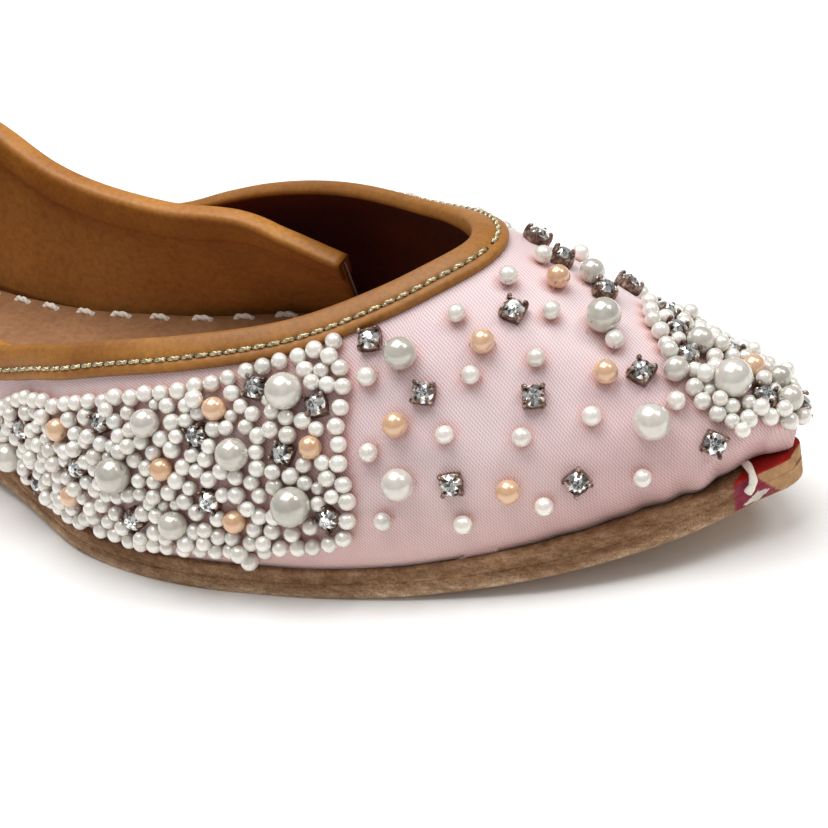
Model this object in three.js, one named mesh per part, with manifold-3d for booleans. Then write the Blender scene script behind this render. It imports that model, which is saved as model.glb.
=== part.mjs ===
// Mojari: a flat slip-on shoe with a pointed toe, in leather and satin.
//
// Millimetres, +Z up, toe towards +X, the floor at Z = 0.
// "at" is always the distance from the back of the sole, measured along the shoe.
// The last is straight, so every form is made for one side and mirrored over Y = 0.

import * as THREE from "three";
import { mergeVertices } from "three/addons/utils/BufferGeometryUtils.js";
import Module from "manifold-3d";

// Driving dimensions -------------------------------------------------------

const SHOE_LENGTH = 245;
const BALL_HALF_WIDTH = 42;
const WAIST_HALF_WIDTH = 23.6;
const HEEL_HALF_WIDTH = 27.8;

const OUTSOLE_THICKNESS = 2.7;
const MIDSOLE_THICKNESS = 2.0;
const INSOLE_THICKNESS = 1.8;
const UPPER_WALL = 2.2;
const QUARTER_WALL = 2.0;
const BINDING_THICKNESS = 1.0;
const GAP = 0.3; // between neighbouring pieces

const HEEL_RISE = 7; // underside of the outsole above the floor at the heel
const ARCH_FRONT_AT = 142; // where the outsole leaves the floor, going back
const ARCH_BACK_AT = 62; // where it is fully raised, and where the lift ends
const SPRING_AT = 171; // where the outsole leaves the floor, going forward
const TOE_SPRING = 9; // underside of the toe tip above the floor

const THROAT_AT = 192.6; // front of the foot opening, on the centre line
const UPPER_TOE_AT = 244; // front of the upper where it meets the sole
const WING_END_AT = 84; // back ends of the vamp's wings
const QUARTER_FRONT_AT = 143; // front ends of the back quarter, inside the wings
const QUARTER_REACH = 5.5; // how far those ends lean forward at the top
const NEAR_FLAP_DROP = 6.5; // the quarter's near front end is cut lower than the far one
const TOE_STIFFENER = 11; // extra depth of leather inside the toe
const STIFFENER_START_AT = 200;
const SEAM_INSET = 0.6; // the quarter's seam inside the sole's edge
const WING_SEAT = -1.4; // where the quarter's lower edge stands inside the wings
const FLAP_START_AT = 78; // where the near flap begins to drop
const FLAP_RUN = 22; // how far it takes to drop in full
const REACH_RUN = 26; // length of the quarter's front end that leans forward

const VAMP_BINDING_WIDTH = 4.4;
const QUARTER_BINDING_OUTER_WIDTH = 5.5;
const QUARTER_BINDING_INNER_WIDTH = 5.6;

const SOLE_TOP = OUTSOLE_THICKNESS + GAP + MIDSOLE_THICKNESS;

// Tables -------------------------------------------------------------------

// Half width of the sole's edge.
const SOLE_ROWS = [
  { at: 0, half: 0 },
  { at: 10, half: 20.5 },
  { at: 26, half: 26.8 },
  { at: 44, half: HEEL_HALF_WIDTH },
  { at: 62, half: 25.4 },
  { at: 80, half: WAIST_HALF_WIDTH },
  { at: 96, half: 24.9 },
  { at: 113, half: 31.0 },
  { at: 132, half: 39.3 },
  { at: 152, half: BALL_HALF_WIDTH },
  { at: 171, half: 40.2 },
  { at: 191, half: 35.9 },
  { at: 211, half: 28.6 },
  { at: 228, half: 18.9 },
  { at: 239, half: 8.3 },
  { at: SHOE_LENGTH, half: 0 },
];

// The last under the vamp: half width where the upper meets the sole, how far the
// side swells beyond it, the height of the crown above the sole, how much the crown
// narrows to a ridge, and how far it leans forward. Behind the throat the crown is
// the foot's instep, which the opening cuts away.
const LAST_ROWS = [
  { at: 76, half: 22.8, swell: 9.6, crown: 49.0, ridge: 0, lean: 0 },
  { at: 92, half: 23.6, swell: 7.8, crown: 49.5, ridge: 0, lean: 0 },
  { at: 104, half: 26.8, swell: 4.0, crown: 49.5, ridge: 0, lean: 0 },
  { at: 117, half: 31.4, swell: 0.6, crown: 48.5, ridge: 0, lean: 0 },
  { at: 134, half: 38.8, swell: 0.4, crown: 46.2, ridge: 0, lean: 0 },
  { at: 152, half: 41.4, swell: 1.2, crown: 43.7, ridge: 0.05, lean: 0 },
  { at: 171, half: 39.6, swell: 1.3, crown: 40.6, ridge: 0.1, lean: 0 },
  { at: 191, half: 35.2, swell: 1.0, crown: 38.8, ridge: 0.25, lean: 0.03 },
  { at: 205, half: 29.6, swell: 1.0, crown: 31.7, ridge: 0.25, lean: 0.06 },
  { at: 217, half: 22.8, swell: 1.0, crown: 23.3, ridge: 0.2, lean: 0.14 },
  { at: 227, half: 15.4, swell: 1.2, crown: 16.8, ridge: 0.1, lean: 0.26 },
  { at: 233, half: 11.4, swell: 1.6, crown: 13.2, ridge: 0, lean: 0.34 },
  { at: 236, half: 7.4, swell: 3.0, crown: 11.4, ridge: 0, lean: 0.36 },
  { at: 238, half: 3.4, swell: 5.2, crown: 10.1, ridge: 0, lean: 0.36 },
  { at: 241, half: 1.9, swell: 4.4, crown: 7.9, ridge: 0, lean: 0.34 },
  { at: UPPER_TOE_AT, half: 0, swell: 0, crown: 4.4, ridge: 0, lean: 0.28 },
];

// The foot opening's edge on the last, as the angle that it lies below the crown.
const TOPLINE_ROWS = [
  { at: 76, below: 56 },
  { at: 88, below: 59.6 },
  { at: 101, below: 62.6 },
  { at: 110, below: 62.4 },
  { at: 117, below: 59.7 },
  { at: 126, below: 54.4 },
  { at: 139, below: 47.6 },
  { at: 155, below: 41.4 },
  { at: 171, below: 34.0 },
  { at: 184, below: 24.0 },
  { at: THROAT_AT, below: 0 },
];

// The back quarter: height of its top edge above the floor, and how far its outside
// stands out from the upper's seam with the sole, at the seam, at mid height as a
// belly, and at the top edge.
const QUARTER_ROWS = [
  { at: 0, top: 62, seat: 0, belly: 2.6, lean: -3.5 },
  { at: 20, top: 61.4, seat: 0, belly: 2.4, lean: -1.5 },
  { at: 45, top: 58, seat: 0, belly: 1.6, lean: -0.8 },
  { at: 62, top: 54, seat: 0, belly: 1.0, lean: 0.4 },
  { at: 78, top: 47.4, seat: -0.9, belly: 0.6, lean: 0.7 },
  { at: 90, top: 40.8, seat: WING_SEAT, belly: 0.4, lean: -1.0 },
  { at: 101, top: 36.2, seat: WING_SEAT, belly: 0.2, lean: -3.5 },
  { at: 113, top: 33.3, seat: WING_SEAT, belly: 0, lean: -7.8 },
  { at: 126, top: 31.8, seat: WING_SEAT, belly: 0, lean: -13.0 },
  { at: QUARTER_FRONT_AT, top: 23.9, seat: WING_SEAT, belly: 0, lean: -14.4 },
];

// How finely each form is cut into facets.
const WING_STATIONS = 22;
const TOE_STATIONS = 14;
const VAMP_STEPS = 9;
const QUARTER_STATIONS = 34;
const QUARTER_STEPS = 5;
const SOLE_STATIONS = 46;

// Curves through tables ----------------------------------------------------

// The value of a column at a place, on a smooth curve through the table's rows.
function along(rows, column, at) {
  const last = rows.length - 1;
  const place = THREE.MathUtils.clamp(at, rows[0].at, rows[last].at);
  let row = 0;
  while (row < last - 1 && rows[row + 1].at < place) row += 1;
  const slope = (index) => {
    const before = rows[Math.max(index - 1, 0)];
    const after = rows[Math.min(index + 1, last)];
    return (after[column] - before[column]) / (after.at - before.at);
  };
  const from = rows[row];
  const to = rows[row + 1];
  const span = to.at - from.at;
  const t = (place - from.at) / span;
  const t2 = t * t;
  const t3 = t2 * t;
  return (
    from[column] * (2 * t3 - 3 * t2 + 1) +
    to[column] * (3 * t2 - 2 * t3) +
    slope(row) * span * (t3 - 2 * t2 + t) +
    slope(row + 1) * span * (t3 - t2)
  );
}

// A table with one column squared: a width that is interpolated as its square comes
// out round where it runs down to nothing.
function withSquare(rows, column) {
  return rows.map((row) => ({ ...row, squared: row[column] ** 2 }));
}

const soleSquares = withSquare(SOLE_ROWS, "half");
const lastSquares = withSquare(LAST_ROWS, "half");
const toplineSquares = withSquare(TOPLINE_ROWS, "below");

function root(value) {
  return Math.sqrt(Math.max(value, 0));
}

function soleHalfWidth(at) {
  return root(along(soleSquares, "squared", at));
}

function smoothStep(value) {
  const t = THREE.MathUtils.clamp(value, 0, 1);
  return t * t * (3 - 2 * t);
}

// Height of the outsole's underside above the floor.
function underside(at) {
  const back = (ARCH_FRONT_AT - at) / (ARCH_FRONT_AT - ARCH_BACK_AT);
  const front = Math.max((at - SPRING_AT) / (SHOE_LENGTH - SPRING_AT), 0);
  return HEEL_RISE * smoothStep(back) + TOE_SPRING * front ** 2;
}

// Height of the midsole's top, where the upper stands.
function seatHeight(at) {
  return underside(at) + SOLE_TOP + GAP;
}

// A width drawn in by the wall's thickness, which stays above zero as it narrows.
function drawnIn(half, inset) {
  return half > 0 ? (half * half) / (half + inset) : 0;
}

// Extra depth of the stiffened toe inside the upper.
function stiffener(at) {
  const length = UPPER_TOE_AT - STIFFENER_START_AT;
  return TOE_STIFFENER * Math.max((at - STIFFENER_START_AT) / length, 0) ** 2;
}

// A point on the vamp's outside, or inside it by the inset. The angle is 0 at the
// sole and a right angle at the crown. The near side is at -Y.
function vampPoint(at, angle, inset) {
  const half = drawnIn(root(along(lastSquares, "squared", at)), inset);
  const crown = along(LAST_ROWS, "crown", at) - inset;
  const swell = along(LAST_ROWS, "swell", at);
  const lean = along(LAST_ROWS, "lean", at);
  const ridge = along(LAST_ROWS, "ridge", at);
  const flank = 1 - ridge * Math.sin(angle) ** 2;
  const rise = crown * Math.sin(angle);
  const setBack = (inset / UPPER_WALL) * stiffener(at);
  return new THREE.Vector3(
    at + lean * rise - setBack,
    -(half * flank * Math.cos(angle) + swell * (half / (half + inset + 1)) * Math.sin(2 * angle)),
    seatHeight(at) + rise,
  );
}

// The angle on the last at which the foot opening's edge lies.
function toplineAngle(at) {
  const below = root(along(toplineSquares, "squared", at));
  return THREE.MathUtils.degToRad(90 - below);
}

// Solids from grids --------------------------------------------------------

const wasm = await Module();
wasm.setup();

// A closed mesh from triangles given as arrays of three points.
function meshGeometry(triangles) {
  const points = triangles.flat();
  const geometry = new THREE.BufferGeometry().setFromPoints(points);
  const merged = mergeVertices(geometry, 1e-4);
  const index = merged.index.array;
  const kept = [];
  for (let i = 0; i < index.length; i += 3) {
    const [a, b, c] = [index[i], index[i + 1], index[i + 2]];
    if (a !== b && b !== c && c !== a) kept.push(a, b, c);
  }
  merged.setIndex(kept);
  return merged;
}

function solidFrom(geometry) {
  const mesh = new wasm.Mesh({
    numProp: 3,
    vertProperties: geometry.attributes.position.array,
    triVerts: new Uint32Array(geometry.index.array),
  });
  return new wasm.Manifold(mesh);
}

function geometryFrom(solid) {
  const mesh = solid.getMesh();
  const geometry = new THREE.BufferGeometry();
  geometry.setAttribute("position", new THREE.BufferAttribute(mesh.vertProperties, 3));
  geometry.setIndex(new THREE.BufferAttribute(mesh.triVerts, 1));
  return geometry;
}

// Two triangles for each cell of a grid of points.
function gridTriangles(grid) {
  const triangles = [];
  for (let i = 0; i + 1 < grid.length; i += 1) {
    for (let j = 0; j + 1 < grid[i].length; j += 1) {
      const [a, b] = [grid[i][j], grid[i + 1][j]];
      const [c, d] = [grid[i + 1][j + 1], grid[i][j + 1]];
      triangles.push([a, b, c], [a, c, d]);
    }
  }
  return triangles;
}

function turnedOver(triangles) {
  return triangles.map(([a, b, c]) => [a, c, b]);
}

function mirrored(triangles) {
  const flip = (p) => new THREE.Vector3(p.x, -p.y, p.z);
  return triangles.map(([a, b, c]) => [flip(a), flip(c), flip(b)]);
}

// A closed solid swept through rings of points, capped at both ends.
function sweptTriangles(rings) {
  const closed = rings.map((ring) => [...ring, ring[0]]);
  const fan = (ring) => ring.slice(2).map((p, i) => [ring[0], ring[i + 1], p]);
  return [
    ...gridTriangles(closed),
    ...fan(rings[0]),
    ...turnedOver(fan(rings[rings.length - 1])),
  ];
}

// Sole layers --------------------------------------------------------------

const BEVEL_WIDTH = 0.4;
const BEVEL_HEIGHT = 0.6;
const NARROWEST = 0.25; // half width of a layer's ends

// Places along a layer, closer together at its two round ends.
function layerPlaces(from, to) {
  const places = [];
  for (let i = 0; i <= SOLE_STATIONS; i += 1) {
    const turn = (Math.PI * i) / SOLE_STATIONS;
    places.push(from + ((to - from) * (1 - Math.cos(turn))) / 2);
  }
  return places;
}

// A flat layer of leather with an outline, between two heights that vary along the
// shoe. Its edge is slightly bevelled.
function layer(places, half, bottom, top) {
  const rings = places.map((at) => {
    const width = Math.max(half(at), NARROWEST);
    const soft = Math.min(BEVEL_WIDTH, width / 2);
    const [low, high] = [bottom(at), top(at)];
    const corner = (y, z) => new THREE.Vector3(at, y, z);
    return [
      corner(-width + soft, low),
      corner(-width, low + BEVEL_HEIGHT),
      corner(-width, high - BEVEL_HEIGHT),
      corner(-width + soft, high),
      corner(width - soft, high),
      corner(width, high - BEVEL_HEIGHT),
      corner(width, low + BEVEL_HEIGHT),
      corner(width - soft, low),
    ];
  });
  return meshGeometry(sweptTriangles(rings));
}

function outsole() {
  return layer(
    layerPlaces(0, SHOE_LENGTH),
    soleHalfWidth,
    underside,
    (at) => underside(at) + OUTSOLE_THICKNESS,
  );
}

function midsole() {
  const shy = 0.5; // how far the layer's edge sits back from the outsole's
  return layer(
    layerPlaces(shy, SHOE_LENGTH - 2 * shy),
    (at) => Math.max(soleHalfWidth(at) - shy, 0),
    (at) => underside(at) + OUTSOLE_THICKNESS + GAP,
    (at) => underside(at) + SOLE_TOP,
  );
}

function heelLift() {
  const shy = 0.8;
  return layer(
    layerPlaces(shy, ARCH_BACK_AT).slice(0, -1),
    (at) => Math.max(soleHalfWidth(at) - shy, 0),
    () => 0,
    (at) => underside(at) - GAP,
  );
}

function insole() {
  const clearance = QUARTER_WALL - WING_SEAT + 3 * GAP;
  return layer(
    layerPlaces(clearance + SEAM_INSET, UPPER_TOE_AT - TOE_STIFFENER - 2 * UPPER_WALL),
    (at) => {
      const vamp = root(along(lastSquares, "squared", at + 2 * stiffener(at)));
      const base = at < LAST_ROWS[0].at ? soleHalfWidth(at) - SEAM_INSET : vamp;
      return Math.max(base - clearance - GAP, 0);
    },
    seatHeight,
    (at) => seatHeight(at) + INSOLE_THICKNESS,
  );
}

// Upper: vamp --------------------------------------------------------------

// Stations from the wings' back ends to the toe. Each has its place at the sole and
// its place and angle at the top: on the opening's edge first, then on the crown.
function vampStations() {
  const stations = [];
  for (let i = 0; i <= WING_STATIONS; i += 1) {
    const t = i / WING_STATIONS;
    const topAt = THROAT_AT - (THROAT_AT - WING_END_AT) * (1 - t) ** 1.5;
    const seamAt = WING_END_AT - 4 + (THROAT_AT - 6 - WING_END_AT + 4) * t;
    stations.push({ topAt, seamAt, angle: toplineAngle(topAt), open: true });
  }
  for (let i = 1; i <= TOE_STATIONS; i += 1) {
    const t = Math.sin((Math.PI / 2) * (i / TOE_STATIONS));
    const topAt = THROAT_AT + (UPPER_TOE_AT - THROAT_AT) * t;
    const seamAt = THROAT_AT - 6 + (UPPER_TOE_AT - THROAT_AT + 6) * t;
    stations.push({ topAt, seamAt, angle: Math.PI / 2, open: false });
  }
  return stations;
}

function vampSheet(inset) {
  return vampStations().map(({ topAt, seamAt, angle }) => {
    const column = [];
    for (let j = 0; j <= VAMP_STEPS; j += 1) {
      const t = j / VAMP_STEPS;
      column.push(vampPoint(seamAt + (topAt - seamAt) * t, angle * t, inset));
    }
    return column;
  });
}

// One half of the vamp: outside, inside, and the rims between them.
function vampSolid() {
  const outside = vampSheet(0);
  const inside = vampSheet(UPPER_WALL);
  const rim = (pick, count) => {
    const edge = [];
    for (let i = 0; i < count; i += 1) edge.push([pick(inside, i), pick(outside, i)]);
    return gridTriangles(edge);
  };
  const half = [
    ...gridTriangles(outside),
    ...turnedOver(gridTriangles(inside)),
    ...rim((sheet, i) => sheet[i][0], outside.length),
    ...turnedOver(rim((sheet, i) => sheet[i][VAMP_STEPS], WING_STATIONS + 1)),
    ...turnedOver(rim((sheet, i) => sheet[0][i], VAMP_STEPS + 1)),
  ];
  return solidFrom(meshGeometry([...half, ...mirrored(half)]));
}

// Upper: back quarter ------------------------------------------------------

// The upper's seam with the sole, seen from above, from a front end of the quarter
// (0) round to the middle of the heel (1), on the near side.
function seamPlace(turn) {
  const at = QUARTER_FRONT_AT * (1 - Math.sin((Math.PI / 2) * turn));
  const half = Math.max(soleHalfWidth(at) - SEAM_INSET * Math.min(at / 2, 1), 0);
  return new THREE.Vector2(at, -half);
}

// A point on the quarter's outside, or inside it by the inset, at a part of its height.
// The drop cuts its front end lower.
function quarterPoint(turn, rise, inset, drop) {
  const step = 1e-3;
  const place = seamPlace(turn);
  const ahead = seamPlace(Math.max(turn - step, 0));
  const behind = seamPlace(Math.min(turn + step, 1));
  const outward = turn > 1 - step ? new THREE.Vector2(-1, 0) : sideways(ahead, behind);
  const row = (column) => along(QUARTER_ROWS, column, place.x);
  const low = seatHeight(place.x);
  const height = row("top") - low;
  const share = rise * (1 - (drop * smoothStep((place.x - FLAP_START_AT) / FLAP_RUN)) / height);
  const offset =
    row("seat") * (1 - share) +
    row("lean") * share +
    row("belly") * Math.sin(Math.PI * share) -
    inset;
  const end = Math.max(1 - (QUARTER_FRONT_AT - place.x) / REACH_RUN, 0);
  return new THREE.Vector3(
    place.x + outward.x * offset + QUARTER_REACH * end ** 2 * share,
    place.y + outward.y * offset,
    low + height * share,
  );
}

// The direction out of the shoe at a seam that runs back between two places.
function sideways(ahead, behind) {
  const run = behind.clone().sub(ahead).normalize();
  return new THREE.Vector2(-run.y, run.x);
}

function quarterSheet(inset, drop) {
  const sheet = [];
  for (let i = 0; i <= QUARTER_STATIONS; i += 1) {
    const column = [];
    for (let j = 0; j <= QUARTER_STEPS; j += 1) {
      column.push(quarterPoint(i / QUARTER_STATIONS, j / QUARTER_STEPS, inset, drop));
    }
    sheet.push(column);
  }
  return sheet;
}

// The near half of a quarter, with its front end cut lower by the drop.
function quarterHalf(drop) {
  const outside = quarterSheet(0, drop);
  const inside = quarterSheet(QUARTER_WALL, drop);
  const edge = (pick, count) => {
    const strip = [];
    for (let i = 0; i < count; i += 1) strip.push([pick(inside, i), pick(outside, i)]);
    return gridTriangles(strip);
  };
  return [
    ...turnedOver(gridTriangles(outside)),
    ...gridTriangles(inside),
    ...turnedOver(edge((sheet, i) => sheet[i][0], QUARTER_STATIONS + 1)),
    ...edge((sheet, i) => sheet[i][QUARTER_STEPS], QUARTER_STATIONS + 1),
    ...edge((sheet, i) => sheet[0][i], QUARTER_STEPS + 1),
  ];
}

function quarterSolid() {
  return solidFrom(meshGeometry([...quarterHalf(NEAR_FLAP_DROP), ...mirrored(quarterHalf(0))]));
}

function upper() {
  return geometryFrom(vampSolid().add(quarterSolid()));
}

// Bindings -----------------------------------------------------------------

// The frame of a sheet's edge at one place: the direction out of the sheet's face and
// the direction past its edge.
function edgeFrame(place, forward, down) {
  const face = new THREE.Vector3().crossVectors(down, forward).normalize();
  const past = new THREE.Vector3().crossVectors(face, forward).normalize();
  return { place, face, past };
}

// A point beside a corner of an edge, in the plane of the edge's frame.
function beside(corner, { face, past }, out, over) {
  return corner.clone().addScaledVector(face, out).addScaledVector(past, over);
}

// Rings for the near side, then those for the far side, given as their mirror images.
function bothSides(near, far) {
  const turned = far.map((ring) => ring.map((p) => new THREE.Vector3(p.x, -p.y, p.z)));
  return [...near, ...turned.reverse().slice(1)];
}

// The place on the last a short way down from the opening's edge, square to it.
function belowTopline(at, angle, frame, width) {
  const small = 1e-3;
  const base = vampPoint(at, angle, 0);
  const forward = vampPoint(at + small, angle, 0).sub(base).divideScalar(small);
  const upward = vampPoint(at, angle + small, 0).sub(base).divideScalar(small);
  const wanted = frame.past.clone().multiplyScalar(-width);
  const [ff, fu, uu] = [forward.dot(forward), forward.dot(upward), upward.dot(upward)];
  const [fw, uw] = [forward.dot(wanted), upward.dot(wanted)];
  const scale = ff * uu - fu * fu;
  return { at: at + (fw * uu - uw * fu) / scale, angle: angle + (uw * ff - fw * fu) / scale };
}

function toplineFrame(topAt, angle) {
  const small = 0.02;
  const place = vampPoint(topAt, angle, 0);
  if (topAt > THROAT_AT - small) {
    place.y = 0;
    const front = vampPoint(topAt + 1, angle, 0).sub(place);
    return edgeFrame(place, new THREE.Vector3(0, 1, 0), front);
  }
  const next = vampPoint(topAt + small, toplineAngle(topAt + small), 0);
  const below = vampPoint(topAt, angle - small, 0);
  return edgeFrame(place, next.sub(place), below.sub(place));
}

// A strip of leather on the outside of the vamp's edge, folded over its top.
function vampBinding() {
  const outer = GAP + BINDING_THICKNESS;
  const rings = vampStations()
    .filter((station) => station.open)
    .map(({ topAt, angle }) => {
      const frame = toplineFrame(topAt, angle);
      const low = belowTopline(topAt, angle, frame, VAMP_BINDING_WIDTH);
      const middle = belowTopline(topAt, angle, frame, VAMP_BINDING_WIDTH / 2);
      const inside = vampPoint(topAt, angle, UPPER_WALL);
      return [
        vampPoint(middle.at, middle.angle, -GAP),
        vampPoint(low.at, low.angle, -GAP),
        vampPoint(low.at, low.angle, -outer),
        vampPoint(middle.at, middle.angle, -outer),
        beside(frame.place, frame, outer, GAP),
        beside(frame.place, frame, GAP, outer),
        beside(inside, frame, 0, outer),
        beside(inside, frame, 0, GAP),
        beside(frame.place, frame, GAP, GAP),
      ];
    });
  for (const point of rings[rings.length - 1]) point.y = 0;
  return meshGeometry(sweptTriangles(bothSides(rings, rings)));
}

// The near half of the strip that is folded over the quarter's top edge.
function quarterBindingRings(drop) {
  const outer = GAP + BINDING_THICKNESS;
  const small = 1e-3;
  const rings = [];
  for (let i = 0; i <= QUARTER_STATIONS; i += 1) {
    const turn = i / QUARTER_STATIONS;
    const point = (rise, inset) => quarterPoint(turn, rise, inset, drop);
    const place = point(1, 0);
    const inside = point(1, QUARTER_WALL);
    const ahead = quarterPoint(Math.max(turn - small, 0), 1, 0, drop);
    const behind = quarterPoint(Math.min(turn + small, 1), 1, 0, drop);
    const forward = i < QUARTER_STATIONS ? ahead.sub(behind) : new THREE.Vector3(0, -1, 0);
    const frame = edgeFrame(place, forward, point(0.95, 0).sub(place));
    const height = place.distanceTo(point(0, 0));
    const outerRise = 1 - QUARTER_BINDING_OUTER_WIDTH / height;
    const innerRise = 1 - QUARTER_BINDING_INNER_WIDTH / height;
    rings.push([
      point(outerRise, -GAP),
      point(outerRise, -outer),
      beside(place, frame, outer, GAP),
      beside(place, frame, GAP, outer),
      beside(inside, frame, -GAP, outer),
      beside(inside, frame, -outer, GAP),
      point(innerRise, QUARTER_WALL + outer),
      point(innerRise, QUARTER_WALL + GAP),
      beside(inside, frame, -GAP, GAP),
      beside(place, frame, GAP, GAP),
    ]);
  }
  for (const point of rings[rings.length - 1]) point.y = 0;
  return rings;
}

function quarterBinding() {
  const rings = bothSides(quarterBindingRings(NEAR_FLAP_DROP), quarterBindingRings(0));
  return meshGeometry(sweptTriangles(rings.reverse()));
}

// The shoe -----------------------------------------------------------------

const soleLeather = { color: 0x9a7350, roughness: 0.85, metalness: 0 };
const tanLeather = { color: 0xb5824a, roughness: 0.55, metalness: 0 };
const brownLeather = { color: 0x7a4a28, roughness: 0.6, metalness: 0 };
const pinkSatin = { color: 0xf0d5da, roughness: 0.45, metalness: 0 };

const pieces = [
  { name: "outsole", geometry: outsole(), finish: soleLeather },
  { name: "midsole", geometry: midsole(), finish: soleLeather },
  { name: "heel_lift", geometry: heelLift(), finish: soleLeather },
  { name: "insole", geometry: insole(), finish: brownLeather },
  { name: "upper", geometry: upper(), finish: pinkSatin },
  { name: "vamp_binding", geometry: vampBinding(), finish: tanLeather },
  { name: "quarter_binding", geometry: quarterBinding(), finish: tanLeather },
];

const shoe = new THREE.Group();
for (const { name, geometry, finish } of pieces) {
  const mesh = new THREE.Mesh(geometry, new THREE.MeshStandardMaterial(finish));
  mesh.name = name;
  mesh.position.x = -SHOE_LENGTH / 2;
  shoe.add(mesh);
}

export default shoe;
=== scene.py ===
import math

import bmesh
import bpy
import numpy as np
from mathutils import Matrix, Vector


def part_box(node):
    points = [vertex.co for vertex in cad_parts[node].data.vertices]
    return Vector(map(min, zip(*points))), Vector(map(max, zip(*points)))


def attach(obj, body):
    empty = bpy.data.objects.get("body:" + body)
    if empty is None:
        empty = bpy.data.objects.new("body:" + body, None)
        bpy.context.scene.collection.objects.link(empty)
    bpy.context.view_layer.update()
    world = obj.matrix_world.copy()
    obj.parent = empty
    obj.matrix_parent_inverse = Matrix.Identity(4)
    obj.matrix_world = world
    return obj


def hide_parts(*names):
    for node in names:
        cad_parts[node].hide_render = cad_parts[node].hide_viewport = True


# The looks of a mojari: a flat satin slip-on with leather bindings, pearls and cut stones.
#
# Shapes are worked out in millimetres, in the shoe's own measures, and written in metres.
# "at" is the distance from the back of the sole, "angle" is an angle round the last,
# 0 where the upper meets the sole on the near side and a right angle on the crown.
# The near side is at -Y and the toe at +X.

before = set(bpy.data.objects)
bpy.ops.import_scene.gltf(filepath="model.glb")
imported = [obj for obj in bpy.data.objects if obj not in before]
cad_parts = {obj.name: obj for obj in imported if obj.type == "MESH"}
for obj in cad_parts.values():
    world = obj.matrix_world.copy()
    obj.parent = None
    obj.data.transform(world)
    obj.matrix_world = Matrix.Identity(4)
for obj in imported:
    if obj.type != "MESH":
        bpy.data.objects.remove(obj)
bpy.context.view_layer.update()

MM = 0.001
SOLE_LOW, SOLE_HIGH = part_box("outsole")
LENGTH = (SOLE_HIGH.x - SOLE_LOW.x) / MM
RIGHT_ANGLE = math.pi / 2
rng = np.random.default_rng(11)

# Camera, light and floor ------------------------------------------------------

CAMERA_AZIMUTH = math.radians(34.2)
CAMERA_ELEVATION = math.radians(30.0)
CAMERA_ROLL = math.radians(-11.0)
CAMERA_DISTANCE = 0.3487
CAMERA_TARGET = Vector((0.0541, 0.0, 0.0108))
CAMERA_LENS = 89.45


def make_camera():
    """The camera, at the photograph's angle to the shoe."""
    data = bpy.data.cameras.new("camera")
    data.lens = CAMERA_LENS
    data.sensor_width = 36.0
    data.clip_start = 0.01
    data.clip_end = 20.0
    camera = bpy.data.objects.new("camera", data)
    bpy.context.scene.collection.objects.link(camera)
    azimuth, elevation = CAMERA_AZIMUTH, CAMERA_ELEVATION
    back = Vector((
        math.sin(azimuth) * math.cos(elevation),
        -math.cos(azimuth) * math.cos(elevation),
        math.sin(elevation),
    ))
    level = Vector((math.cos(azimuth), math.sin(azimuth), 0.0))
    upright = back.cross(level)
    right = math.cos(CAMERA_ROLL) * level + math.sin(CAMERA_ROLL) * upright
    up = back.cross(right)
    turn = Matrix((right, up, back)).transposed()
    camera.matrix_world = Matrix.Translation(CAMERA_TARGET + CAMERA_DISTANCE * back) @ turn.to_4x4()
    bpy.context.scene.camera = camera


def add_area_light(name, place, target, size, power):
    """A soft square light that faces a target."""
    data = bpy.data.lights.new(name, "AREA")
    data.shape = "SQUARE"
    data.size = size
    data.energy = power
    light = bpy.data.objects.new(name, data)
    bpy.context.scene.collection.objects.link(light)
    light.location = place
    light.rotation_euler = (Vector(target) - Vector(place)).to_track_quat("-Z", "Y").to_euler()


def make_studio():
    """A pale floor, soft light from a large lamp above and a smaller one over the toe, and
    a weak lamp in front that fills the shade."""
    scene = bpy.context.scene
    scene.view_settings.view_transform = "Standard"
    world = bpy.data.worlds.new("studio")
    world.use_nodes = True
    world.node_tree.nodes["Background"].inputs["Color"].default_value = (1.0, 0.99, 0.98, 1.0)
    world.node_tree.nodes["Background"].inputs["Strength"].default_value = 0.36
    scene.world = world
    add_area_light("key", (0.50, 0.20, 0.62), (0.04, 0.0, 0.02), 0.24, 1.3)
    add_area_light("softbox", (-0.12, 0.05, 1.0), (0.04, 0.0, 0.0), 0.9, 10.8)
    add_area_light("fill", (0.20, -0.75, 0.50), (0.0, 0.0, 0.02), 0.8, 0.3)
    half = 2.0
    mesh = bpy.data.meshes.new("floor")
    corners = [(-half, -half, 0.0), (half, -half, 0.0), (half, half, 0.0), (-half, half, 0.0)]
    mesh.from_pydata(corners, [], [(0, 1, 2, 3)])
    floor = bpy.data.objects.new("floor", mesh)
    scene.collection.objects.link(floor)
    floor.data.materials.append(floor_paper())


# Tables of the shoe's shape, the same as the CAD model's ----------------------


def columns(names, rows):
    """A table with named columns, as arrays."""
    values = np.array(rows, float)
    return {name: values[:, index] for index, name in enumerate(names.split())}


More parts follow.
